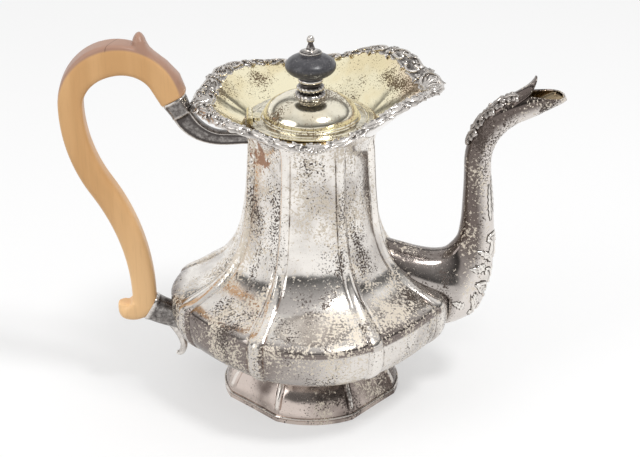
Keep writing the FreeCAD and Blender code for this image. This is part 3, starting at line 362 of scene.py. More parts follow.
# %% Cast silver
def cast_silver(name, hollow, high, low_point, high_point, dull):
    finish, tree, shader, coords = start_finish(name)
    point = tree.nodes.new("ShaderNodeNewGeometry").outputs["Pointiness"]
    grain = cloud(tree, coords, 420, 3.0, 0.7)
    rubbed = reckon(tree, "MULTIPLY_ADD", grain, 0.10, point)
    polish = between(tree, rubbed, low_point + 0.05, high_point + 0.05)
    colour = blend(tree, polish, hollow, high)
    tree.links.new(colour, shader.inputs["Base Color"])
    shader.inputs["Metallic"].default_value = 1.0
    tree.links.new(reckon(tree, "MULTIPLY_ADD", polish, -0.12, dull), shader.inputs["Roughness"])
    relief(tree, shader, grain, 0.00012)
    return finish


border_silver = cast_silver("border_silver", (0.085, 0.075, 0.07), (0.72, 0.68, 0.64), 0.48, 0.60, 0.36)
leaf_silver = cast_silver("leaf_silver", (0.20, 0.17, 0.155), (0.88, 0.84, 0.79), 0.46, 0.57, 0.34)
dark_ground = cast_silver("dark_ground", (0.045, 0.037, 0.032), (0.10, 0.085, 0.075), 0.46, 0.57, 0.5)
socket_silver = cast_silver("socket_silver", (0.085, 0.075, 0.072), (0.72, 0.68, 0.64), 0.482, 0.575, 0.28)
crest_silver = cast_silver("crest_silver", (0.05, 0.042, 0.038), (0.50, 0.46, 0.43), 0.48, 0.60, 0.36)
print("cast silver mixed in five tones")

# %% [markdown]
# ## Wood
# The handle is honey-coloured fruitwood sawn from a straight board, so its faint grain runs up the handle
# whatever way the carving bends, and it is painted paler towards the bottom as painted light. The top of the
# arch, where the hand rubs, is painted darker from the hand's wear and pinker as a painted sheen: its
# distance from the middle of the arch finds it. A hairline shake crosses that face. The knob is black wood.

# %% Wood
ARCH_MIDDLE = (-0.1117, 0.0, 0.1895)


def fruit_wood(name):
    finish, tree, shader, coords = start_finish(name)
    figure = cloud(tree, coords, 70, 3.0, 0.5, (1.0, 1.0, 0.12))
    fibres = cloud(tree, coords, 900, 2.0, 0.6, (1.0, 1.0, 0.05))
    colour = blend(tree, between(tree, figure, 0.38, 0.64), (0.66, 0.365, 0.145), (0.74, 0.43, 0.185))
    axes = along_axes(tree, coords)
    # Painted light: the wood is blended paler towards the bottom of the handle.
    colour = blend(tree, between(tree, axes["Z"], 0.15, 0.06, 0.0, 0.95), colour, (0.96, 0.61, 0.30))
    dark = between(tree, fibres, 0.54, 0.72, 0.0, 0.10)
    colour = blend(tree, dark, colour, (0.40, 0.20, 0.08))
    flat = tree.nodes.new("ShaderNodeVectorMath")
    flat.operation = "MULTIPLY"
    tree.links.new(coords, flat.inputs[0])
    flat.inputs[1].default_value = (1.0, 0.0, 1.0)
    reach = far_from(tree, flat.outputs["Vector"], ARCH_MIDDLE)
    outside = between(tree, reach, 0.0350, 0.0366)
    # Painted sheen with wear: the rubbed top of the arch is blended darker and pinker.
    rubbed = reckon(tree, "MULTIPLY", outside, between(tree, axes["Z"], 0.185, 0.205))
    colour = blend(tree, reckon(tree, "MULTIPLY", rubbed, 0.9), colour, (0.36, 0.205, 0.155))
    slant = reckon(tree, "MULTIPLY_ADD", axes["Y"], -0.5, axes["X"])
    aside = reckon(tree, "ABSOLUTE", reckon(tree, "ADD", slant, 0.1145))
    shake = between(tree, aside, 0.0001, 0.0004, 1.0, 0.0)
    shake = reckon(tree, "MULTIPLY", shake, rubbed)
    colour = blend(tree, reckon(tree, "MULTIPLY", shake, 0.8), colour, (0.12, 0.06, 0.03))
    tree.links.new(colour, shader.inputs["Base Color"])
    shader.inputs["Roughness"].default_value = 0.40
    shader.inputs["Coat Weight"].default_value = 0.15
    shader.inputs["Coat Roughness"].default_value = 0.25
    relief(tree, shader, fibres, 0.00005)
    return finish


def black_wood(name):
    finish, tree, shader, coords = start_finish(name)
    pores = cloud(tree, coords, 700, 3.0, 0.7, (1.0, 1.0, 0.2))
    colour = blend(tree, between(tree, pores, 0.45, 0.7), (0.045, 0.044, 0.05), (0.085, 0.082, 0.09))
    dust = between(tree, cloud(tree, coords, 1100, 1.0, 0.5), 0.70, 0.76, 0.0, 0.7)
    colour = blend(tree, dust, colour, (0.45, 0.43, 0.42))
    tree.links.new(colour, shader.inputs["Base Color"])
    shader.inputs["Roughness"].default_value = 0.30
    relief(tree, shader, pores, 0.00005)
    return finish


honey_wood = fruit_wood("honey_wood")
ebony = black_wood("ebony")
print("woods mixed")

# %% [markdown]
# ## The lobed body
# Eight panels meet at eight raised ribs. The front, back and side panels bulge and the four corner panels
# are nearly flat, so the ribs' angles are listed and the swell depends on the panel. A spun mesh has even
# steps, so its turn is warped to crowd the steps at the ribs, where the relief is fine. A rib is a round
# bar with a fine crease on each side.

# %% Ribs and panels
RIBS = (20.0, 64.5, 115.5, 160.0, 200.0, 244.5, 295.5, 340.0)
CROWDING = 0.6
WALL = 1.2
RIB_RISE = 1.6
RIB_CREASE = 0.55
INNER_SHARE = 0.6
BODY_STEPS = 480


def panel_turn(turn):
    even = turn / (2 * math.pi) * len(RIBS)
    number = int(even) % len(RIBS)
    share = even - int(even)
    share -= CROWDING * math.sin(2 * math.pi * share) / (2 * math.pi)
    span = (RIBS[(number + 1) % len(RIBS)] - RIBS[number]) % 360
    return number, share, math.radians(RIBS[number] + span * share), math.radians(span)


def eased(value):
    value = min(max(value, 0.0), 1.0)
    return value * value * (3 - 2 * value)


def rib_relief(gap, half):
    across = gap / half
    bar = RIB_RISE * max(1 - across * across, 0.0) ** 0.7
    crease = RIB_CREASE * math.exp(-((across - 1.1) / 0.17) ** 2)
    return bar - crease


def lobed_place(rows):
    def place(row, turn):
        radius, height, swell, flat, half, strength = rows[row]
        number, share, angle, span = panel_turn(turn)
        gap = radius * span * min(share, 1 - share)
        bulge = swell if number % 2 else swell - flat
        out = radius + bulge * 4 * share * (1 - share) + strength * rib_relief(gap, half)
        point = Vector((out * math.cos(angle), out * math.sin(angle), height))
        dent = 0.16 * noise.noise(point * 0.05) + 0.05 * noise.noise(point * 0.16)
        return point + Vector((math.cos(angle), math.sin(angle), 0)) * dent * strength
    return place


# Painted shade and dirt in the creases beside a rib (positive), painted highlight on its crown (negative).
def lobed_dirt_and_painted_light(rows):
    def dirt_and_painted_light(row, turn):
        radius, height, swell, flat, half, strength = rows[row]
        number, share, angle, span = panel_turn(turn)
        across = radius * span * min(share, 1 - share) / half
        return strength * (math.exp(-((across - 1.1) / 0.2) ** 2) - math.exp(-(across / 0.75) ** 4))
    return dirt_and_painted_light


def walled(rows, thickness):
    inner = []
    for i, (radius, height, swell, flat, half, strength) in enumerate(rows):
        before = rows[max(i - 1, 0)]
        after = rows[min(i + 1, len(rows) - 1)]
        along = Vector((after[0] - before[0], after[1] - before[1])).normalized()
        inner.append((radius - thickness * along.y, height + thickness * along.x, swell, flat, half,
                      INNER_SHARE * strength))
    return rows + inner[::-1]


print("ribs at", RIBS)

# %% [markdown]
# ## Neck, bowl and foot
# The neck falls to the shoulder on one smooth formula, the bowl is a quarter of a squared-off ellipse,
# and the foot is a dome with a flared edge. Each outline is walked from end to end and back along its
# inner side, so that every shell is closed and has the thickness of the sheet.

# %% Neck
SEAM_HEIGHT = 66.0
NECK_TOP = 174.8
NECK_RADIUS = 36.4
BELLY_RADIUS = 83.4
BELLY_SWELL = 2.8
CORNER_FLAT = 6.5
SEAM_STEP = 0.25
SHOULDER_DROP = 16.3
SHOULDER_POWER = 1.8
THROAT_RADIUS = 39.0
LIP_SHARE = 0.09
RIB_HALF = 3.0
RIB_HALF_BELLY = 5.2


def corner_flat(radius):
    return CORNER_FLAT * (radius / BELLY_RADIUS) ** 2


def neck_fall(height):
    return 1 / (1 + (max(height - SEAM_HEIGHT, 0.0) / SHOULDER_DROP) ** SHOULDER_POWER)


def neck_row(height):
    fall = neck_fall(height)
    spread = BELLY_RADIUS - SEAM_STEP - NECK_RADIUS
    flare = max(0.0, (height - SEAM_HEIGHT) / (NECK_TOP - SEAM_HEIGHT) - 1 + LIP_SHARE) / LIP_SHARE
    lip = THROAT_RADIUS + WALL - NECK_RADIUS - spread * neck_fall(NECK_TOP)
    radius = NECK_RADIUS + spread * fall + lip * flare ** 2
    swell = (BELLY_SWELL * fall ** 4 - 0.8 * (1 - fall) - 8.0 * fall ** 2 * (1 - fall)) * (1 - flare)
    half = RIB_HALF + (RIB_HALF_BELLY - RIB_HALF) * fall
    return (radius, height, swell, corner_flat(radius) * (1 - flare), half, 1 - 0.8 * flare)


NECK_ROWS = 56
neck_rows = [neck_row(SEAM_HEIGHT + (NECK_TOP - SEAM_HEIGHT) * (i / NECK_ROWS) ** 1.6)
             for i in range(NECK_ROWS + 1)]
neck_shell = walled(neck_rows, WALL)
neck_mesh = spun(len(neck_shell), BODY_STEPS, lobed_place(neck_shell), True, lobed_dirt_and_painted_light(neck_shell))
finished(neck_mesh, "neck", "pot", [plate_silver], ["neck_shell"])

# %% Bowl
BELLY_HEIGHT = 60.0
BELLY_DEPTH = 29.8
BELLY_FULLNESS = 3.0
WAIST_RADIUS = 36.0


def bowl_row(angle):
    power = 2 / BELLY_FULLNESS
    radius = BELLY_RADIUS * math.sin(angle) ** power
    height = BELLY_HEIGHT - BELLY_DEPTH * max(math.cos(angle), 0.0) ** power
    share = radius / BELLY_RADIUS
    half = RIB_HALF + (RIB_HALF_BELLY - RIB_HALF) * share
    return (radius, height, BELLY_SWELL * share, corner_flat(radius), half, eased((radius - 38.0) / 9.0))


BOWL_ROWS = 30
floor_angle = math.asin((WAIST_RADIUS / BELLY_RADIUS) ** (BELLY_FULLNESS / 2))
bowl_rows = [bowl_row(floor_angle + (math.pi / 2 - floor_angle) * i / BOWL_ROWS)
             for i in range(BOWL_ROWS + 1)]
for step, inset in ((1.5, 0.0), (3.0, 0.0), (4.5, 0.0), (5.6, 0.0), (5.9, 0.1), (6.0, 0.4)):
    bowl_rows.append((BELLY_RADIUS - inset, BELLY_HEIGHT + step, BELLY_SWELL, CORNER_FLAT,
                      RIB_HALF_BELLY, 1.0))
bowl_floor = bowl_rows[0][1]
bowl_shell = [(0.0, bowl_floor, 0.0, 0.0, RIB_HALF, 0.0)] + walled(bowl_rows, WALL)
bowl_shell.append((0.0, bowl_floor + WALL, 0.0, 0.0, RIB_HALF, 0.0))
bowl_mesh = spun(len(bowl_shell), BODY_STEPS, lobed_place(bowl_shell), False, lobed_dirt_and_painted_light(bowl_shell))
finished(bowl_mesh, "bowl", "pot", [plate_silver], ["belly_bowl"])

# %% Foot and band
FOOT_RADIUS = 53.2
FOOT_FULLNESS = 1.65
FOOT_SWELL = 0.4
FOOT_FLAT = 4.6
BAND_HEIGHT = 4.0


def foot_row(share):
    spread = 1 - share ** FOOT_FULLNESS
    radius = WAIST_RADIUS + (FOOT_RADIUS - WAIST_RADIUS) * spread
    height = BAND_HEIGHT + (bowl_floor - BAND_HEIGHT) * share
    swell = 1.2 + (FOOT_SWELL - 1.2) * spread
    flat = corner_flat(WAIST_RADIUS) + (FOOT_FLAT - corner_flat(WAIST_RADIUS)) * spread
    return (radius, height, swell, flat, 1.9, eased((share - 0.06) / 0.14))


FOOT_ROWS = 28
foot_shell = walled([foot_row(i / FOOT_ROWS) for i in range(FOOT_ROWS + 1)], WALL)
foot_mesh = spun(len(foot_shell), BODY_STEPS, lobed_place(foot_shell), True, lobed_dirt_and_painted_light(foot_shell))
finished(foot_mesh, "foot_dome", "pot", [foot_silver], ["foot"])
BAND_OUTLINE = ((52.0, 0.0), (53.8, 0.0), (54.2, 0.3), (54.2, 2.5), (53.8, 2.8), (53.8, 3.0), (54.4, 3.3),
                (54.4, 3.7), (54.0, 4.1), (53.2, 4.3), (52.0, 4.0))
band_rows = [(radius, height, FOOT_SWELL, FOOT_FLAT, RIB_HALF, 0.0) for radius, height in BAND_OUTLINE]


# Painted highlight: the band's upper lip is marked as a crown, which the finish paints brighter.
def band_lip_highlight(row, turn):
    return -1.0 if 3.2 < BAND_OUTLINE[row][1] < 4.2 else 0.0


band_mesh = spun(len(band_rows), BODY_STEPS, lobed_place(band_rows), True, band_lip_highlight)
finished(band_mesh, "band", "pot", [foot_silver], ["foot_band"], 30)

# %% [markdown]
# ## The collar
# The collar opens from a round throat to a wavy rim, lower at the sides and higher beside the spout.
# The rim's reach and height are given at the middle of each panel, and a parabola through the middle and
# the two ribs fills in the rest. The upper side is gilt and the underside is plain.

# %% Rim and collar
RIM_REACH = (72.5, 67.0, 68.0, 64.5, 61.5, 64.5, 68.0, 67.0)
RIM_RISE = (199.0, 204.0, 189.0, 194.0, 189.5, 194.0, 189.0, 204.0)
RIM_SCALLOP = 1.4
THROAT_HEIGHT = 176.2


def rim_edge(number, share, notch):
    panel = (number + 1) % 8
    after = (number + 2) % 8

    def through(values, drop):
        first = (values[number] + values[panel]) / 2 - drop
        last = (values[after] + values[panel]) / 2 - drop
        return (first * (1 - share) * (1 - 2 * share) + 4 * values[panel] * share * (1 - share)
                + last * share * (2 * share - 1))

    return through(RIM_REACH, notch), through(RIM_RISE, 0.0)


def collar_point(number, share, angle, along):
    reach, height = rim_edge(number, share, RIM_SCALLOP)
    radius = THROAT_RADIUS + (reach - THROAT_RADIUS) * along
    level = THROAT_HEIGHT + (height - THROAT_HEIGHT) * along - 2.2 * along * (1 - along) * (1 - 0.4 * along)
    level += 0.6 * math.exp(-(min(share, 1 - share) * 16) ** 2) * max(1 - along, 0.0) ** 0.5 * along
    point = Vector((radius * math.cos(angle), radius * math.sin(angle), level))
    return point + Vector((0, 0, 1.4 * noise.noise(point * 0.07) * along * (1 - along)))


COLLAR_ROWS = 14


def collar_place(row, turn):
    number, share, angle, span = panel_turn(turn)
    if row <= COLLAR_ROWS:
        return collar_point(number, share, angle, row / COLLAR_ROWS)
    along = (2 * COLLAR_ROWS + 1 - row) / COLLAR_ROWS
    outward = Vector((math.cos(angle), math.sin(angle), 0))
    return collar_point(number, share, angle, along) + outward * 1.8 * (1 - along) + Vector((0, 0, -1.3))


collar_mesh = spun(2 * COLLAR_ROWS + 2, 360, collar_place, True)
for face in collar_mesh.faces:
    face.material_index = 0 if face.normal.z > 0 else 1
finished(collar_mesh, "collar", "pot", [gilt, plain_silver], ["mouth_collar"])

# %% [markdown]
# ## Scrolls and leaves
# All the cast ornament is made of two shapes, a C-scroll and a lobed leaf. Both are drawn flat, as a line
# with a width, and then laid on a curved surface: a small ring is swept along the line, and a function
# sends each point from the flat drawing to the metal. The same shapes dress the rim and the spout.

# %% Scrolls and leaves
def c_scroll(u, v, turn, length, half, hand, curl=3.6):
    places = []
    x = y = 0.0
    steps = 20
    for i in range(steps + 1):
        s = 2 * i / steps - 1
        heading = 0.7 * s + curl * s * abs(s) ** 2.6
        places.append((x, y, s))
        x += length / steps * math.cos(heading)
        y += length / steps * math.sin(heading) * hand
    middle_x, middle_y, _ = places[steps // 2]
    curve = []
    for x, y, s in places:
        thick = half * (1.0 - 0.45 * abs(s) ** 1.5 + (0.5 if abs(s) > 0.88 else 0.0))
        across, along = x - middle_x, y - middle_y
        curve.append((u + across * math.cos(turn) - along * math.sin(turn),
                      v + across * math.sin(turn) + along * math.cos(turn), thick))
    return curve


def lobed_leaf(u, v, turn, length, half, bend=0.0, lobes=3):
    curve = []
    steps = 12
    for i in range(steps + 1):
        s = i / steps
        wave = 1 + 0.30 * math.cos(2 * math.pi * lobes * s)
        thick = half * max(math.sin(math.pi * s ** 0.7), 0.0) ** 0.7 * wave + 0.12
        curve.append((u, v, thick))
        u += length / steps * math.cos(turn + bend * s)
        v += length / steps * math.sin(turn + bend * s)
    return curve


def lay(mesh, curve, surface, lift, tall, ring=6, groove=0.0):
    def place(i, turn):
        u, v, half = curve[i]
        before = curve[max(i - 1, 0)]
        after = curve[min(i + 1, len(curve) - 1)]
        du, dv = after[0] - before[0], after[1] - before[1]
        side = half * math.cos(turn) / max(math.hypot(du, dv), 1e-6)
        height = tall * half * math.sin(turn) * (1 - groove * math.exp(-(math.cos(turn) / 0.3) ** 2))
        return surface(u - dv * side, v + du * side, lift + height)
    merge_into(mesh, swept(list(range(len(curve))), ring, place))


print("a scroll has", len(c_scroll(0, 0, 0, 16, 1, 1)), "stations")

# %% [markdown]
# ## The cast border
# The border was cast in short lengths and soldered along the rim. It is widest at the spout and the handle,
# where a large shell stands, and narrow at the sides, with a small shell. A low band carries it. Large
# scrolls with their backs outward follow the edge, smaller ones face them where the border is wide, and
# leaves fill the gaps.

# %% Border band
BORDER_OUT = 7.0
HANDLE_END = 3.2


def panel_at(angle):
    for number in range(len(RIBS)):
        span = (RIBS[(number + 1) % len(RIBS)] - RIBS[number]) % 360
        past = (angle - RIBS[number]) % 360
        if past < span:
            return number, past / span


def border_width(angle):
    return 7.4 + 8.6 * abs(math.cos(math.radians(angle))) ** 3


def border_out(angle):
    return BORDER_OUT + HANDLE_END * max(-math.cos(math.radians(angle)), 0.0) ** 4


def rim_point(angle, out, lift):
    number, share = panel_at(angle)
    turn = math.radians(angle)
    outward = Vector((math.cos(turn), math.sin(turn), 0))
    reach, height = rim_edge(number, share, RIM_SCALLOP * (1 + max(out, 0.0) / BORDER_OUT))
    slant = math.hypot(reach - THROAT_RADIUS, height - THROAT_HEIGHT)
    lean = math.atan2(height - THROAT_HEIGHT, reach - THROAT_RADIUS)
    if out < 0:
        base = collar_point(number, share, turn, 1 + out / slant)
    else:
        base = outward * (reach + out * 0.97) + Vector((0, 0, height + 0.12 * out - 0.03 * out * out))
        lean *= 1 - 0.8 * min(out / BORDER_OUT, 1.0)
    return base + (Vector((0, 0, math.cos(lean))) - outward * math.sin(lean)) * lift


BAND_LIFTS = (0.0, 0.5, 0.8, 0.7, 0.9, 0.6, 0.9, 0.7, 0.3, -0.6, -1.3, -1.5)
BAND_SHARES = (0.0, 0.05, 0.2, 0.35, 0.5, 0.65, 0.8, 0.92, 1.0, 0.99, 0.75, 0.45)


def border_place(row, turn):
    angle = math.degrees(panel_turn(turn)[2])
    wide = border_width(angle)
    ripple = 0.7 * math.sin(math.radians(angle) * 46) + 0.5 * math.sin(math.radians(angle) * 74 + 1.0)
    inner = border_out(angle) - wide + 0.8 * ripple
    outer = border_out(angle) - 0.9 + 0.6 * ripple
    out = inner + (outer - inner) * BAND_SHARES[row]
    rough = 0.5 * noise.noise(Vector((angle * 0.45, out * 0.6, 0.0))) if 0 < row < 8 else 0.0
    return rim_point(angle, out, BAND_LIFTS[row] + rough)


band_of_border = spun(len(BAND_LIFTS), BODY_STEPS, border_place, True)
finished(band_of_border, "border_band", "pot", [border_silver], ["rim_border"])

# %% Border scrolls
RIM_MIDDLE = 67.0
UNITS = 26
OUTWARD = math.pi / 2
ornament = bmesh.new()


def rim_surface(angle):
    def surface(u, v, lift):
        return rim_point(angle + math.degrees(u / RIM_MIDDLE), v, lift)
    return surface


for unit in range(UNITS):
    angle = 360 * (unit + 0.5) / UNITS
    surface = rim_surface(angle)
    wide = border_width(angle)
    edge = border_out(angle)
    inner = edge - wide
    hand = 1 if unit % 2 else -1
    lay(ornament, c_scroll(0.4 * hand, edge - 2.4, 0.22 * hand, 20.5, 1.35, -1), surface, 1.1, 1.0)
    tall_leaf = lobed_leaf(7.8, edge - 7.0, OUTWARD - 0.2 * hand, 7.6, 1.9, 0.5 * hand)
    lay(ornament, tall_leaf, surface, 1.2, 0.75, 8, 0.45)
    low_leaf = lobed_leaf(0.0, edge - 2.8, -OUTWARD + 0.4 * hand, 6.0, 1.5, 0.6 * hand)
    lay(ornament, low_leaf, surface, 1.0, 0.8, 8, 0.45)
    if wide > 8.5:
        lay(ornament, c_scroll(-0.5 * hand, inner + 2.4, -0.25 * hand, 16.5, 1.1, 1), surface, 0.8, 1.0)
        inner_leaf = lobed_leaf(7.4, inner + 6.0, -OUTWARD - 0.3 * hand, 7.0, 1.8, 0.7 * hand)
        lay(ornament, inner_leaf, surface, 0.8, 0.8, 8, 0.45)
for angle, reach in ((0.0, 1.0), (180.0, 1.0), (90.0, 0.55), (270.0, 0.55)):
    surface = rim_surface(angle)
    wide = border_width(angle)
    for k in range(-3, 4):
        fan = OUTWARD - 0.30 * k
        length = (3.0 + wide * 0.66 * reach) * (1 - 0.025 * k * k)
        foot_of_shell = border_out(angle) - wide * reach + 2.0
        lobe = lobed_leaf(0.7 * k, foot_of_shell, fan, length, 1.25, -0.1 * k, 1)
        lay(ornament, lobe, surface, 1.5 - 0.1 * abs(k), 1.0, 8)
finished(ornament, "border_scrolls", "pot", [border_silver], (), 60)

# %% [markdown]
# ## The spout
# The spout starts on the bowl, bends up, and bends out again to its lip. Its first ring lies on the
# body's own surface, worked out from the neck and bowl formulas, so that it meets the silver all round,
# and a smooth blend carries it into the bend. The tube isn't quite round: flats along its back and sides
# meet in soft creases. It is one sweep, cut by the slanting plane of the mouth, and thickened inward.

# %% Path of the spout
def walk(x, z, heading, legs):
    places = [(x, z, heading, 0.0)]
    for number, (bend, amount, steps) in enumerate(legs):
        start_x, start_z, start_heading, _ = places[-1]
        for step in range(1, steps + 1):
            share = step / steps
            turn = math.radians(start_heading)
            if bend == 0:
                place = (start_x + amount * share * math.cos(turn), start_z + amount * share * math.sin(turn),
                         start_heading)
            else:
                after = turn + math.radians(amount * share)
                side = math.copysign(bend, amount)
                place = (start_x + side * (math.sin(after) - math.sin(turn)),
                         start_z + side * (math.cos(turn) - math.cos(after)), math.degrees(after))
            places.append(place + (number + share,))
    return places


def shared(values, place):
    number = min(int(place), len(values) - 2)
    return values[number] + (values[number + 1] - values[number]) * eased(place - number)


SPOUT_DEEP = (22.0, 25.0, 10.4, 8.4, 8.8, 6.0)
SPOUT_WIDE = (18.0, 20.0, 10.0, 7.6, 8.9, 9.4)
LIP_ROUND = 4.72
CREASES = (-105.0, -37.5, 37.5, 105.0)
spout_path = walk(48.0, 59.0, 12.0, [
    (0, 24.5, 2), (37.3, 80.0, 24), (0, 46.0, 18), (37.0, -72.0, 26), (0, 27.2, 20)])


def body_radius(height):
    if height > SEAM_HEIGHT:
        radius, _, swell = neck_row(height)[:3]
    else:
        drop = max(BELLY_HEIGHT - height, 0.0) / BELLY_DEPTH
        radius = BELLY_RADIUS * max(1 - drop ** BELLY_FULLNESS, 0.01) ** (1 / BELLY_FULLNESS)
        swell = BELLY_SWELL
    return radius + swell


def facet(turn):
    degrees = (math.degrees(turn) + 180) % 360 - 180
    for first, last in zip(CREASES, CREASES[1:]):
        if first <= degrees <= last:
            half = math.radians(last - first) / 2
            flat = math.cos(half) / math.cos(math.radians(degrees - first) - half)
            return 1 + 0.3 * (flat - 1)
    return 1.0


def across_place(x, z, heading, deep, wide, turn):
    lean = math.radians(heading)
    over = deep * facet(turn) * math.cos(turn)
    return Vector((x - over * math.sin(lean), wide * facet(turn) * math.sin(turn), z + over * math.cos(lean)))


ROOT_MIDDLE = 66.0
ROOT_RISE = 33.0
ROOT_DROP = 25.5
ROOT_WIDE = 19.5
FREE_HEADING = 64.0
ROOT_STEPS = 14
free = [place for place in spout_path if place[2] >= FREE_HEADING or place[3] > 2]


def root_place(turn):
    z = ROOT_MIDDLE + (ROOT_RISE if math.cos(turn) > 0 else ROOT_DROP) * math.cos(turn)
    y = ROOT_WIDE * math.sin(turn)
    reach = body_radius(z) - 0.5
    return Vector((math.sqrt(reach * reach - y * y), y, z))


def free_place(number, turn):
    x, z, heading, place = free[number]
    wide = shared(SPOUT_WIDE, place)
    if place > LIP_ROUND:
        wide *= 0.30 + 0.70 * math.sqrt(max(1 - ((place - LIP_ROUND) / (5 - LIP_ROUND)) ** 2, 0.0))
    fillet = 4.0 * max(math.cos(turn), 0.0) * math.exp(-((place - 1.75) / 0.3) ** 2)
    return across_place(x, z, heading, shared(SPOUT_DEEP, place) + fillet, wide, turn)


def spout_place(station, turn):
    if station >= ROOT_STEPS:
        return free_place(station - ROOT_STEPS, turn)
    share = station / ROOT_STEPS
    pull = 50.0 - 22.0 * math.cos(turn)
    tilt = 0.15 - 0.45 * max(math.cos(turn), 0.0)
    leave = Vector((math.cos(tilt), 0, math.sin(tilt))) * pull
    arrive = (free_place(1, turn) - free_place(0, turn)).normalized() * pull * 0.9
    start, target = root_place(turn), free_place(0, turn)
    into = share * share * (3 - 2 * share)
    return (start * (1 - into) + target * into + leave * share * (1 - share) ** 2
            - arrive * share * share * (1 - share))


STATIONS = ROOT_STEPS + len(free)
print("spout in", STATIONS, "stations")

# %% Spout tube
MOUTH_BACK = Vector((128.4, 0.0, 192.4))
MOUTH_SLOPE = math.radians(4.0)
spout_mesh = swept(list(range(STATIONS)), 48, spout_place, False)
everything = list(spout_mesh.verts) + list(spout_mesh.edges) + list(spout_mesh.faces)
bmesh.ops.bisect_plane(spout_mesh, geom=everything, plane_co=MOUTH_BACK,
                       plane_no=(math.sin(MOUTH_SLOPE), 0, math.cos(MOUTH_SLOPE)), clear_outer=True)
# Painted light: a number per vertex, high on the outer side of the tube, which the finish paints lighter.
outer = spout_mesh.verts.layers.float.new("outer")
for vert in spout_mesh.verts:
    near = min(free, key=lambda place: (place[0] - vert.co.x) ** 2 + (place[1] - vert.co.z) ** 2)
    lean = math.radians(near[2])
    over = (near[0] - vert.co.x) * math.sin(lean) + (vert.co.z - near[1]) * math.cos(lean)
    vert[outer] = 0.95 * eased((-over / shared(SPOUT_DEEP, near[3]) + 0.15) / 0.7)
spout = finished(spout_mesh, "spout", "pot", [spout_silver, spout_gilt], ["spout_tube"])
thick = spout.modifiers.new("wall", "SOLIDIFY")
thick.thickness = WALL * MILLIMETRE
thick.offset = -1
thick.material_offset = 1

# %% [markdown]
# ## Leaves of the spout
# A cast crest runs along the back of the upper bend on a dark strip, and a plain flap of silver turns up
# behind the mouth. Low foliage covers the outside of the lower bend and wraps round to its sides. The
# scrolls and leaves of the border are used again: a point is found on the tube from its distance along a
# line of the sweep and its distance to one side. Each low leaf lies on a slightly larger dark one, a painted
# shadow round the chased work.

# %% Crest
def spout_surface(line):
    places = [spout_place(i, line) for i in range(STATIONS)]
    lengths = [0.0]
    for first, last in zip(places, places[1:]):
        lengths.append(lengths[-1] + (last - first).length)

    def surface(u, v, lift):
        i = next((k for k in range(STATIONS - 2) if lengths[k + 1] > u), STATIONS - 2)
        share = (u - lengths[i]) / max(lengths[i + 1] - lengths[i], 1e-6)
        middle = (spout_place(i, 0.0) + spout_place(i, math.pi)) / 2
        turn = line + v / (places[i] - middle).length
        base = spout_place(i, turn).lerp(spout_place(i + 1, turn), share)
        return base + (base - middle).normalized() * lift
    return surface, lengths, places


back, back_lengths, back_places = spout_surface(0.0)
crest_start = next(length for length, place in zip(back_lengths, back_places) if place.z > 161.0)
crest_end = next(length for length, place in zip(back_lengths, back_places) if place.x > 120.0)
crest = bmesh.new()
CREST_UNITS = 5
step = (crest_end - crest_start) / CREST_UNITS
for unit in range(CREST_UNITS):
    u = crest_start + step * (unit + 0.5)
    hand = 1 if unit % 2 else -1
    lay(crest, c_scroll(u, 0.6 * hand, 0.35 * hand, 18.0, 1.35, hand), back, 0.9, 1.1, 8)
    for side in (-1, 1):
        crest_leaf = lobed_leaf(u - 3.5, 1.6 * side, 0.7 * side, 9.5, 1.7, -0.8 * side)
        lay(crest, crest_leaf, back, 0.5, 0.8, 10, 0.5)
crest_ground = bmesh.new()
strip = []
for i in range(25):
    along = crest_start + (crest_end - crest_start) * i / 24
    strip.append((along, 0.0, 4.6 * math.sin(math.pi * (i + 1) / 26) ** 0.35))
lay(crest_ground, strip, back, 0.0, 0.14, 12)

# %% Flap
FLAP_LINE = ((117.5, 190.2), (121.0, 192.4), (124.6, 194.4), (128.0, 196.5), (130.6, 198.7), (132.3, 201.0),
             (132.9, 203.0))
FLAP_HALF = (7.2, 7.4, 7.4, 6.8, 5.2, 3.2, 1.2)
flap_mesh = bmesh.new()
bmesh.ops.create_grid(flap_mesh, x_segments=6, y_segments=8, size=1.0)
for vert in flap_mesh.verts:
    row = round((vert.co.x + 1) * 3)
    x, z = FLAP_LINE[row]
    side = vert.co.y * FLAP_HALF[row]
    fallen = side * side / (13.0 + 2.5 * row)
    vert.co = (x + 0.35 * fallen, side, z - 0.94 * fallen)
bmesh.ops.subdivide_edges(flap_mesh, edges=flap_mesh.edges, cuts=1, use_grid_fill=True, smooth=1.0)
bmesh.ops.recalc_face_normals(flap_mesh, faces=flap_mesh.faces)
finished(crest, "spout_leaves", "pot", [crest_silver], ["spout_crest"], 60)
finished(crest_ground, "crest_ground", "pot", [dark_ground], (), 60)
flap = finished(flap_mesh, "spout_flap", "pot", [spout_silver])
flap_wall = flap.modifiers.new("wall", "SOLIDIFY")
flap_wall.thickness = 0.8 * MILLIMETRE
flap_wall.offset = 0

# %% Root foliage
under, under_lengths, under_places = spout_surface(math.pi)
foliage = bmesh.new()
leaf_shadows = bmesh.new()
LOW = 0.40


def chase(curve, tall, groove):
    lay(foliage, curve, under, 0.1, tall, 8, groove)
    # Painted shadow: a wider, flat dark copy of each leaf lies under it.
    lay(leaf_shadows, [(u, v, half + 0.9) for u, v, half in curve], under, 0.0, 0.06)


def round_at(u):
    number = next((k for k in range(STATIONS) if under_lengths[k] > u), STATIONS - 1)
    return (under_places[number] - spout_place(number, 0.0)).length / 2


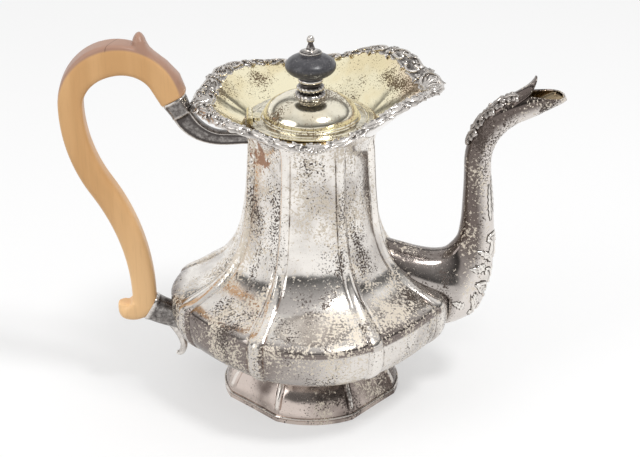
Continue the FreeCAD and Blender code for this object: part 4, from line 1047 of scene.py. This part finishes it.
ROOT_SCROLLS = ((80.0, 0.30, 1.3, 22.0), (70.0, 0.75, -0.4, 20.0), (54.0, 0.35, 0.9, 24.0),
                (46.0, 0.95, 1.9, 24.0), (30.0, 0.45, -0.7, 24.0), (24.0, 1.05, 0.8, 22.0))
ROOT_LEAVES = ((94.0, 0.25, 0.0, 24.0, 1.3, 0.0, 6), (90.0, 0.75, -0.05, 24.0, 1.1, 0.0, 6),
               (62.0, 0.55, 0.8, 15.0, 2.2, 0.6, 4), (60.0, 1.05, 2.4, 15.0, 2.4, -0.6, 4),
               (40.0, 0.60, 1.2, 16.0, 2.8, 0.7, 4), (36.0, 1.20, 2.7, 18.0, 2.8, -0.7, 4),
               (18.0, 0.70, 0.9, 17.0, 3.0, 0.6, 4), (14.0, 1.25, 2.2, 15.0, 2.6, 0.5, 4))
for side in (-1, 1):
    for u, turn, aim, length in ROOT_SCROLLS:
        chase(c_scroll(u, turn * round_at(u) * side, aim * side, length, 1.15, side), 0.8, 0.0)
    for u, turn, aim, length, half, bend, lobes in ROOT_LEAVES:
        leaf = lobed_leaf(u, turn * round_at(u) * side, aim * side, length, half, bend * side, lobes)
        chase(leaf, LOW, 0.6)
for u in (14.0, 30.0, 46.0, 62.0):
    chase(lobed_leaf(u, 0.0, 0.0, 15.0, 3.0, 0.0, 3), LOW, 0.6)
finished(foliage, "root_leaves", "pot", [leaf_silver], ["spout_base_scroll"], 60)
finished(leaf_shadows, "root_leaf_shadows", "pot", [dark_ground], (), 60)

# %% [markdown]
# ## Sockets for the handle
# The upper arm is fluted: its sides are hollow between two rounded rails, and it ends in a plain cup.
# The lower cup is plain with a rim, and a thin leaf hangs from it and curls up at its tip. All three are
# sweeps, and the flute is a dip in the ring's radius that fades out towards the cup.

# %% Upper socket
ARM_DEEP = (3.3, 4.0, 6.3, 7.6)
ARM_WIDE = (5.8, 5.6, 6.8, 8.0)
arm_path = walk(-35.5, 167.3, 180.0, [(0, 15.5, 10), (26.95, -62.0, 26), (0, 12.8, 14)])


def oval_place(x, z, heading, deep, wide, turn, power):
    lean = math.radians(heading)
    over = deep * math.copysign(abs(math.cos(turn)) ** (2 / power), math.cos(turn))
    side = wide * math.copysign(abs(math.sin(turn)) ** (2 / power), math.sin(turn))
    return Vector((x - over * math.sin(lean), side, z + over * math.cos(lean)))


def arm_place(station, turn):
    x, z, heading, number = station
    plain = eased((number - 1.95) / 0.3)
    flute = 0.36 * (1 - plain) * eased((abs(math.sin(turn)) - 0.62) / 0.30)
    rim = 0.5 * math.exp(-((number - 2.94) / 0.04) ** 2) + 0.45 * math.exp(-((number - 2.16) / 0.05) ** 2)
    deep = shared(ARM_DEEP, number) + rim
    wide = shared(ARM_WIDE, number) + rim
    return oval_place(x, z, heading, deep, wide * (1 - flute), turn, 2.6)


finished(swept(arm_path, 56, arm_place), "arm", "pot", [socket_silver], ["upper_socket"])

# %% Lower socket and its leaf
cup_path = walk(-99.4, 56.1, -30.0, [(75.0, 22.0, 20)])


def cup_place(station, turn):
    x, z, heading, number = station
    rim = 0.5 * math.exp(-((number - 0.04) / 0.04) ** 2)
    return oval_place(x, z, heading, 8.7 - 1.6 * number + rim, 7.0 + 0.7 * number + rim, turn, 2.5)


finished(swept(cup_path, 48, cup_place), "cup", "pot", [socket_silver], ["lower_socket"])
tail_path = walk(-87.5, 45.6, -50.0, [(38.0, -26.0, 10), (9.0, -46.0, 8), (2.4, -90.0, 6)])
TAIL_DEEP = (3.2, 2.4, 2.0, 1.1)
TAIL_WIDE = (4.0, 3.4, 2.8, 2.0)


def tail_place(station, turn):
    x, z, heading, number = station
    return oval_place(x, z, heading, shared(TAIL_DEEP, number), shared(TAIL_WIDE, number), turn, 2.0)


finished(swept(tail_path, 20, tail_place), "tail_leaf", "pot", [leaf_silver],
         ["lower_socket_leaf"])

# %% [markdown]
# ## The wooden handle
# The handle is carved from one board: an arch with a thumb rest, a long S-shaped sweep, and a heel that
# curls outward and up. The arch keeps the board's crisp corners and the sweep is rounder, so the power of
# its oval section falls on the way down. One sweep makes the arch, the grip and the heel, a second makes the
# thumb rest, a voxel remesh joins them as the carver's single piece, and a light smoothing rounds the joins.

# %% Wooden handle
GRIP_DEEP = (7.7, 7.7, 9.6, 7.4, 7.8, 7.4, 6.8, 3.6)
GRIP_WIDE = (8.0, 8.0, 8.0, 8.0, 8.0, 7.2, 7.4, 5.0)
GRIP_POWER = (5.0, 7.0, 7.0, 5.0, 3.6, 3.4, 3.2, 2.6)


def line_and_turn(dx, dz, heading, last):
    a, b = math.radians(heading), math.radians(last)
    side = math.copysign(1, last - heading)
    turn_x = side * (math.sin(b) - math.sin(a))
    turn_z = side * (math.cos(a) - math.cos(b))
    scale = math.cos(a) * turn_z - math.sin(a) * turn_x
    return (dx * turn_z - dz * turn_x) / scale, (math.cos(a) * dz - math.sin(a) * dx) / scale


arch_run, arch_bend = line_and_turn(-140.6 + 80.8, 189.5 - 192.9, 118.0, 270.0)
sweep_turn = 2 * math.degrees(math.atan2(-102.6 + 140.6, 189.5 - 62.0))
sweep_bend = (189.5 - 62.0) / math.sin(math.radians(sweep_turn))
grip_path = walk(-80.8, 192.9, 118.0, [
    (0, arch_run, 8), (arch_bend, 76.0, 20), (arch_bend, 76.0, 20),
    (sweep_bend * 0.41, sweep_turn, 18), (sweep_bend * 0.59, -sweep_turn, 28),
    (7.4, -112.0, 14), (4.2, -66.0, 8)])


def grip_place(station, turn):
    x, z, heading, number = station
    return oval_place(x, z, heading, shared(GRIP_DEEP, number), shared(GRIP_WIDE, number), turn,
                      shared(GRIP_POWER, number))


wood = swept(grip_path, 64, grip_place)
THUMB = ((-76.9, 195.6, 4.5, 7.6), (-80.5, 204.2, 5.0, 7.9), (-87.0, 211.3, 5.2, 7.9),
         (-93.4, 216.6, 5.0, 7.9), (-97.2, 221.0, 4.8, 7.8), (-98.9, 225.6, 4.3, 7.2),
         (-99.3, 229.4, 3.6, 6.0), (-99.1, 232.0, 2.2, 4.0), (-99.0, 233.3, 0.8, 1.8))


def thumb_place(number, turn):
    x, z, deep, wide = THUMB[number]
    before, after = THUMB[max(number - 1, 0)], THUMB[min(number + 1, len(THUMB) - 1)]
    heading = math.degrees(math.atan2(after[1] - before[1], after[0] - before[0]))
    return oval_place(x, z, heading, deep, wide, turn, 2.8)


merge_into(wood, swept(list(range(len(THUMB))), 40, thumb_place))
handle = finished(wood, "handle", "pot", [honey_wood], ["handle_grip"])
joining = handle.modifiers.new("joined", "REMESH")
joining.mode = "VOXEL"
joining.voxel_size = 0.62 * MILLIMETRE
joining.use_smooth_shade = True
soften = handle.modifiers.new("soften", "SMOOTH")
soften.factor = 0.5
soften.iterations = 4

# %% [markdown]
# ## Lid
# The lid is a spun dome on a stepped flange, a little fuller than the CAD dome. The hinge needs a notch at
# the back of the flange, so there every vertex outside the notch's straight edge is drawn in to it.

# %% Lid
LID_OUTLINE = ((27.3, 178.8), (37.2, 178.8), (37.5, 179.1), (37.5, 179.7), (37.1, 180.0), (34.4, 180.0),
               (34.0, 180.3), (33.2, 180.3), (32.8, 180.0), (29.6, 180.0), (29.0, 180.4), (28.9, 181.2),
               (28.1, 181.6))
NOTCH_EDGE = 33.3
NOTCH_HALF = 9.4
DOME_STEPS = 18
dome = []
for i in range(1, DOME_STEPS + 1):
    rise = i / DOME_STEPS * math.pi / 2
    dome.append((9.8 + 18.3 * max(math.cos(rise), 0.0) ** 1.15, 181.6 + 11.6 * math.sin(rise) ** 1.1))
lid_rows = list(LID_OUTLINE) + dome + [(1.6, 193.2), (1.6, 192.0), (9.8, 192.0)]
lid_rows += [(radius - 1.0, height - 0.9) for radius, height in dome[-2::-1]]


def lid_place(row, turn):
    radius, height = lid_rows[row]
    if math.cos(turn) < 0 and abs(radius * math.sin(turn)) < NOTCH_HALF:
        radius = min(radius, NOTCH_EDGE / abs(math.cos(turn)))
    return Vector((radius * math.cos(turn), radius * math.sin(turn), height))


lid_mesh = spun(len(lid_rows), 240, lid_place, True)
finished(lid_mesh, "lid", "lid", [lid_gilt], ["lid_cover"], 30)

# %% [markdown]
# ## Finial
# Collar, knob, disc and cone are turned pieces, drawn together by the stud that the CAD holds. The collar's
# two beads are chased with slanting flutes, the disc has a roped edge and the cone ends in a small bud.

# %% Collar of the finial
def chased(profile, flutes, depth, low, high):
    def place(row, turn):
        radius, height = profile[row]
        cut = depth * math.sin(flutes * turn + 1.6 * height) if low < height < high and radius > 6.0 else 0.0
        return Vector(((radius + cut) * math.cos(turn), (radius + cut) * math.sin(turn), height))
    return place


COLLAR_OUTLINE = ((1.6, 190.5), (9.1, 190.5), (9.4, 191.1), (9.4, 193.9), (9.0, 194.8), (8.0, 195.5),
                  (6.6, 195.9), (6.6, 196.4), (7.7, 196.8), (8.2, 197.7), (8.2, 198.7), (7.5, 199.6),
                  (6.1, 200.1), (5.9, 200.9), (6.4, 201.6), (7.3, 202.1), (7.5, 202.9), (7.2, 203.6),
                  (1.6, 203.6))
ringed = spun(len(COLLAR_OUTLINE), 128, chased(COLLAR_OUTLINE, 18, 0.25, 193.0, 199.7), True)
finished(ringed, "knob_collar", "lid", [socket_silver], ["finial_collar"], 60)

# %% Knob
KNOB_STEPS = 32
KNOB_RADIUS = 15.0
KNOB_MIDDLE = 211.6
KNOB_ROUND = 7.4
KNOB_HALF = 6.7
knob_rows = [(1.6, 203.6), (6.7, 203.6), (6.7, 204.3)]
for i in range(KNOB_STEPS + 1):
    lean = math.asin(KNOB_HALF / KNOB_ROUND) * (2 * i / KNOB_STEPS - 1)
    knob_rows.append((KNOB_RADIUS * math.cos(lean), KNOB_MIDDLE + KNOB_ROUND * math.sin(lean)))
knob_rows += [(6.2, 219.0), (6.2, 219.6), (1.6, 219.6)]
turned = spun(len(knob_rows), 128, round_place(knob_rows), True)
finished(turned, "knob", "lid", [ebony], ["finial_knob"])

# %% Disc and cone
CAP_OUTLINE = ((1.6, 219.6), (6.2, 219.6), (6.5, 219.8), (6.5, 220.2), (6.1, 220.4), (5.4, 220.5),
               (5.2, 220.8), (4.8, 221.0), (4.0, 221.2), (1.6, 221.2))
roped = spun(len(CAP_OUTLINE), 144, chased(CAP_OUTLINE, 36, 0.18, 219.7, 220.3), True)
finished(roped, "knob_cap", "lid", [socket_silver], ["finial_cap"], 50)
TOP_OUTLINE = ((1.6, 221.2), (3.2, 221.2), (3.1, 221.9), (2.4, 222.4), (2.5, 222.9), (2.1, 223.6),
               (1.5, 225.2), (1.4, 225.8), (2.0, 226.3), (2.3, 227.4), (2.1, 228.6), (1.4, 229.7),
               (0.0, 230.2))
pointed = spun(len(TOP_OUTLINE), 64, round_place(TOP_OUTLINE), False)
finished(pointed, "knob_cone", "lid", [socket_silver], ["finial_top"], 50)

# %% [markdown]
# ## Pieces kept from the CAD
# The seat, bezel, hinge, pins, stud and nut have the right shape already, so they only get a finish. The seat
# ring takes the dark brown of the spout's gilt as painted shade in the gap round the lid.

# %% Finish the small pieces
def refinish(name, finish):
    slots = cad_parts[name].data.materials
    slots.clear()
    slots.append(finish)


for name in ("upper_socket_pin", "lower_socket_pin"):
    refinish(name, plain_silver)
for name in ("lid_hinge_leaf", "body_hinge_knuckles", "hinge_pin", "lid_bezel", "finial_stud", "finial_nut"):
    refinish(name, gilt)
# Painted shade: the seat ring is dark brown so that the gap round the lid reads dark.
refinish("lid_seat_ring", spout_gilt)
print("small pieces finished")

# %% [markdown]
# ## Studio
# A pale floor, a white surround and two soft lamps. Polished silver shows whatever stands round it, so the
# surround is white up to a little above the horizon, dark over that like a room, and pale again overhead
# and behind, where the backdrop hangs. Rays that only light the matte surfaces see an even white, and the
# floor glows a little where the camera or the metal looks at it, so that it reads as white paper and still
# takes the shadow.

# %% Floor
def seen_rays(tree):
    rays = tree.nodes.new("ShaderNodeLightPath").outputs
    return reckon(tree, "MAXIMUM", rays["Is Camera Ray"],
                  reckon(tree, "MAXIMUM", rays["Is Glossy Ray"], rays["Is Transmission Ray"]))


FLOOR_GLOW = 0.42
floor_mesh = bmesh.new()
bmesh.ops.create_grid(floor_mesh, x_segments=1, y_segments=1, size=4.0)
floor_data = bpy.data.meshes.new("floor")
floor_mesh.to_mesh(floor_data)
floor_mesh.free()
floor = bpy.data.objects.new("floor", floor_data)
bpy.context.scene.collection.objects.link(floor)
paper, paper_tree, paper_shader, _ = start_finish("paper")
paper_shader.inputs["Base Color"].default_value = (0.55, 0.55, 0.55, 1.0)
paper_shader.inputs["Roughness"].default_value = 1.0
paper_shader.inputs["Specular IOR Level"].default_value = 0.0
paper_shader.inputs["Emission Color"].default_value = (1.0, 1.0, 1.0, 1.0)
paper_tree.links.new(reckon(paper_tree, "MULTIPLY", seen_rays(paper_tree), FLOOR_GLOW),
                     paper_shader.inputs["Emission Strength"])
floor_data.materials.append(paper)
print("floor laid")

# %% Surround
EVEN_LIGHT = 0.70
world = bpy.data.worlds.new("surround")
bpy.context.scene.world = world
world.use_nodes = True
sky = world.node_tree
surround = sky.nodes["Background"]
surround.inputs["Color"].default_value = (1.0, 1.0, 1.0, 1.0)
toward = along_axes(sky, sky.nodes.new("ShaderNodeTexCoord").outputs["Generated"])
rise = toward["Z"]
behind = between(sky, toward["Y"], -0.05, 0.35)
pale_from = reckon(sky, "MULTIPLY_ADD", behind, -0.34, 0.92)
pale = reckon(sky, "MULTIPLY_ADD", behind, 0.22, 0.60)
wall = between(sky, rise, 0.36, 0.43, 1.0, 0.12)
room = reckon(sky, "MULTIPLY", between(sky, rise, 0.47, pale_from), pale)
overhead = between(sky, rise, 0.90, 0.98, 0.0, 0.22)
extra = reckon(sky, "ADD", reckon(sky, "ADD", wall, room), reckon(sky, "ADD", overhead, -EVEN_LIGHT))
sky.links.new(reckon(sky, "MULTIPLY_ADD", seen_rays(sky), extra, EVEN_LIGHT), surround.inputs["Strength"])
print("surround set")


# %% Lamps and camera
def lamp(name, place, aim, size, power):
    light = bpy.data.lights.new(name, "AREA")
    light.shape = "DISK"
    light.size = size
    light.energy = power
    holder = bpy.data.objects.new(name, light)
    holder.location = place
    holder.rotation_mode = "QUATERNION"
    holder.rotation_quaternion = (Vector(aim) - Vector(place)).to_track_quat("-Z", "Y")
    bpy.context.scene.collection.objects.link(holder)


POT_MIDDLE = (0.0, 0.0, 0.11)
lamp("key", (0.5, -0.45, 1.45), POT_MIDDLE, 0.35, 9.0)
lamp("fill", (-1.2, -0.6, 1.0), POT_MIDDLE, 1.0, 5.0)

ELEVATION = math.radians(25.0)
AZIMUTH = math.radians(-2.0)
DISTANCE = 1.1
LENS = 102.09
camera_data = bpy.data.cameras.new("camera")
camera_data.lens = LENS
camera = bpy.data.objects.new("camera", camera_data)
bpy.context.scene.collection.objects.link(camera)
back_off = Vector((math.sin(AZIMUTH) * math.cos(ELEVATION), -math.cos(AZIMUTH) * math.cos(ELEVATION),
                   math.sin(ELEVATION)))
right = Vector((math.cos(AZIMUTH), math.sin(AZIMUTH), 0.0))
upward = back_off.cross(right)
target = Vector((0.0, 0.0, 0.115))
aim = target + right * 0.00545 - upward * 0.0078
camera.location = target + back_off * DISTANCE
camera.rotation_mode = "QUATERNION"
camera.rotation_quaternion = (aim - camera.location).to_track_quat("-Z", "Y")
camera_data.clip_start = 0.01
bpy.context.scene.camera = camera
bpy.context.scene.view_settings.view_transform = "Standard"
print("camera", round(DISTANCE, 2), "m away")
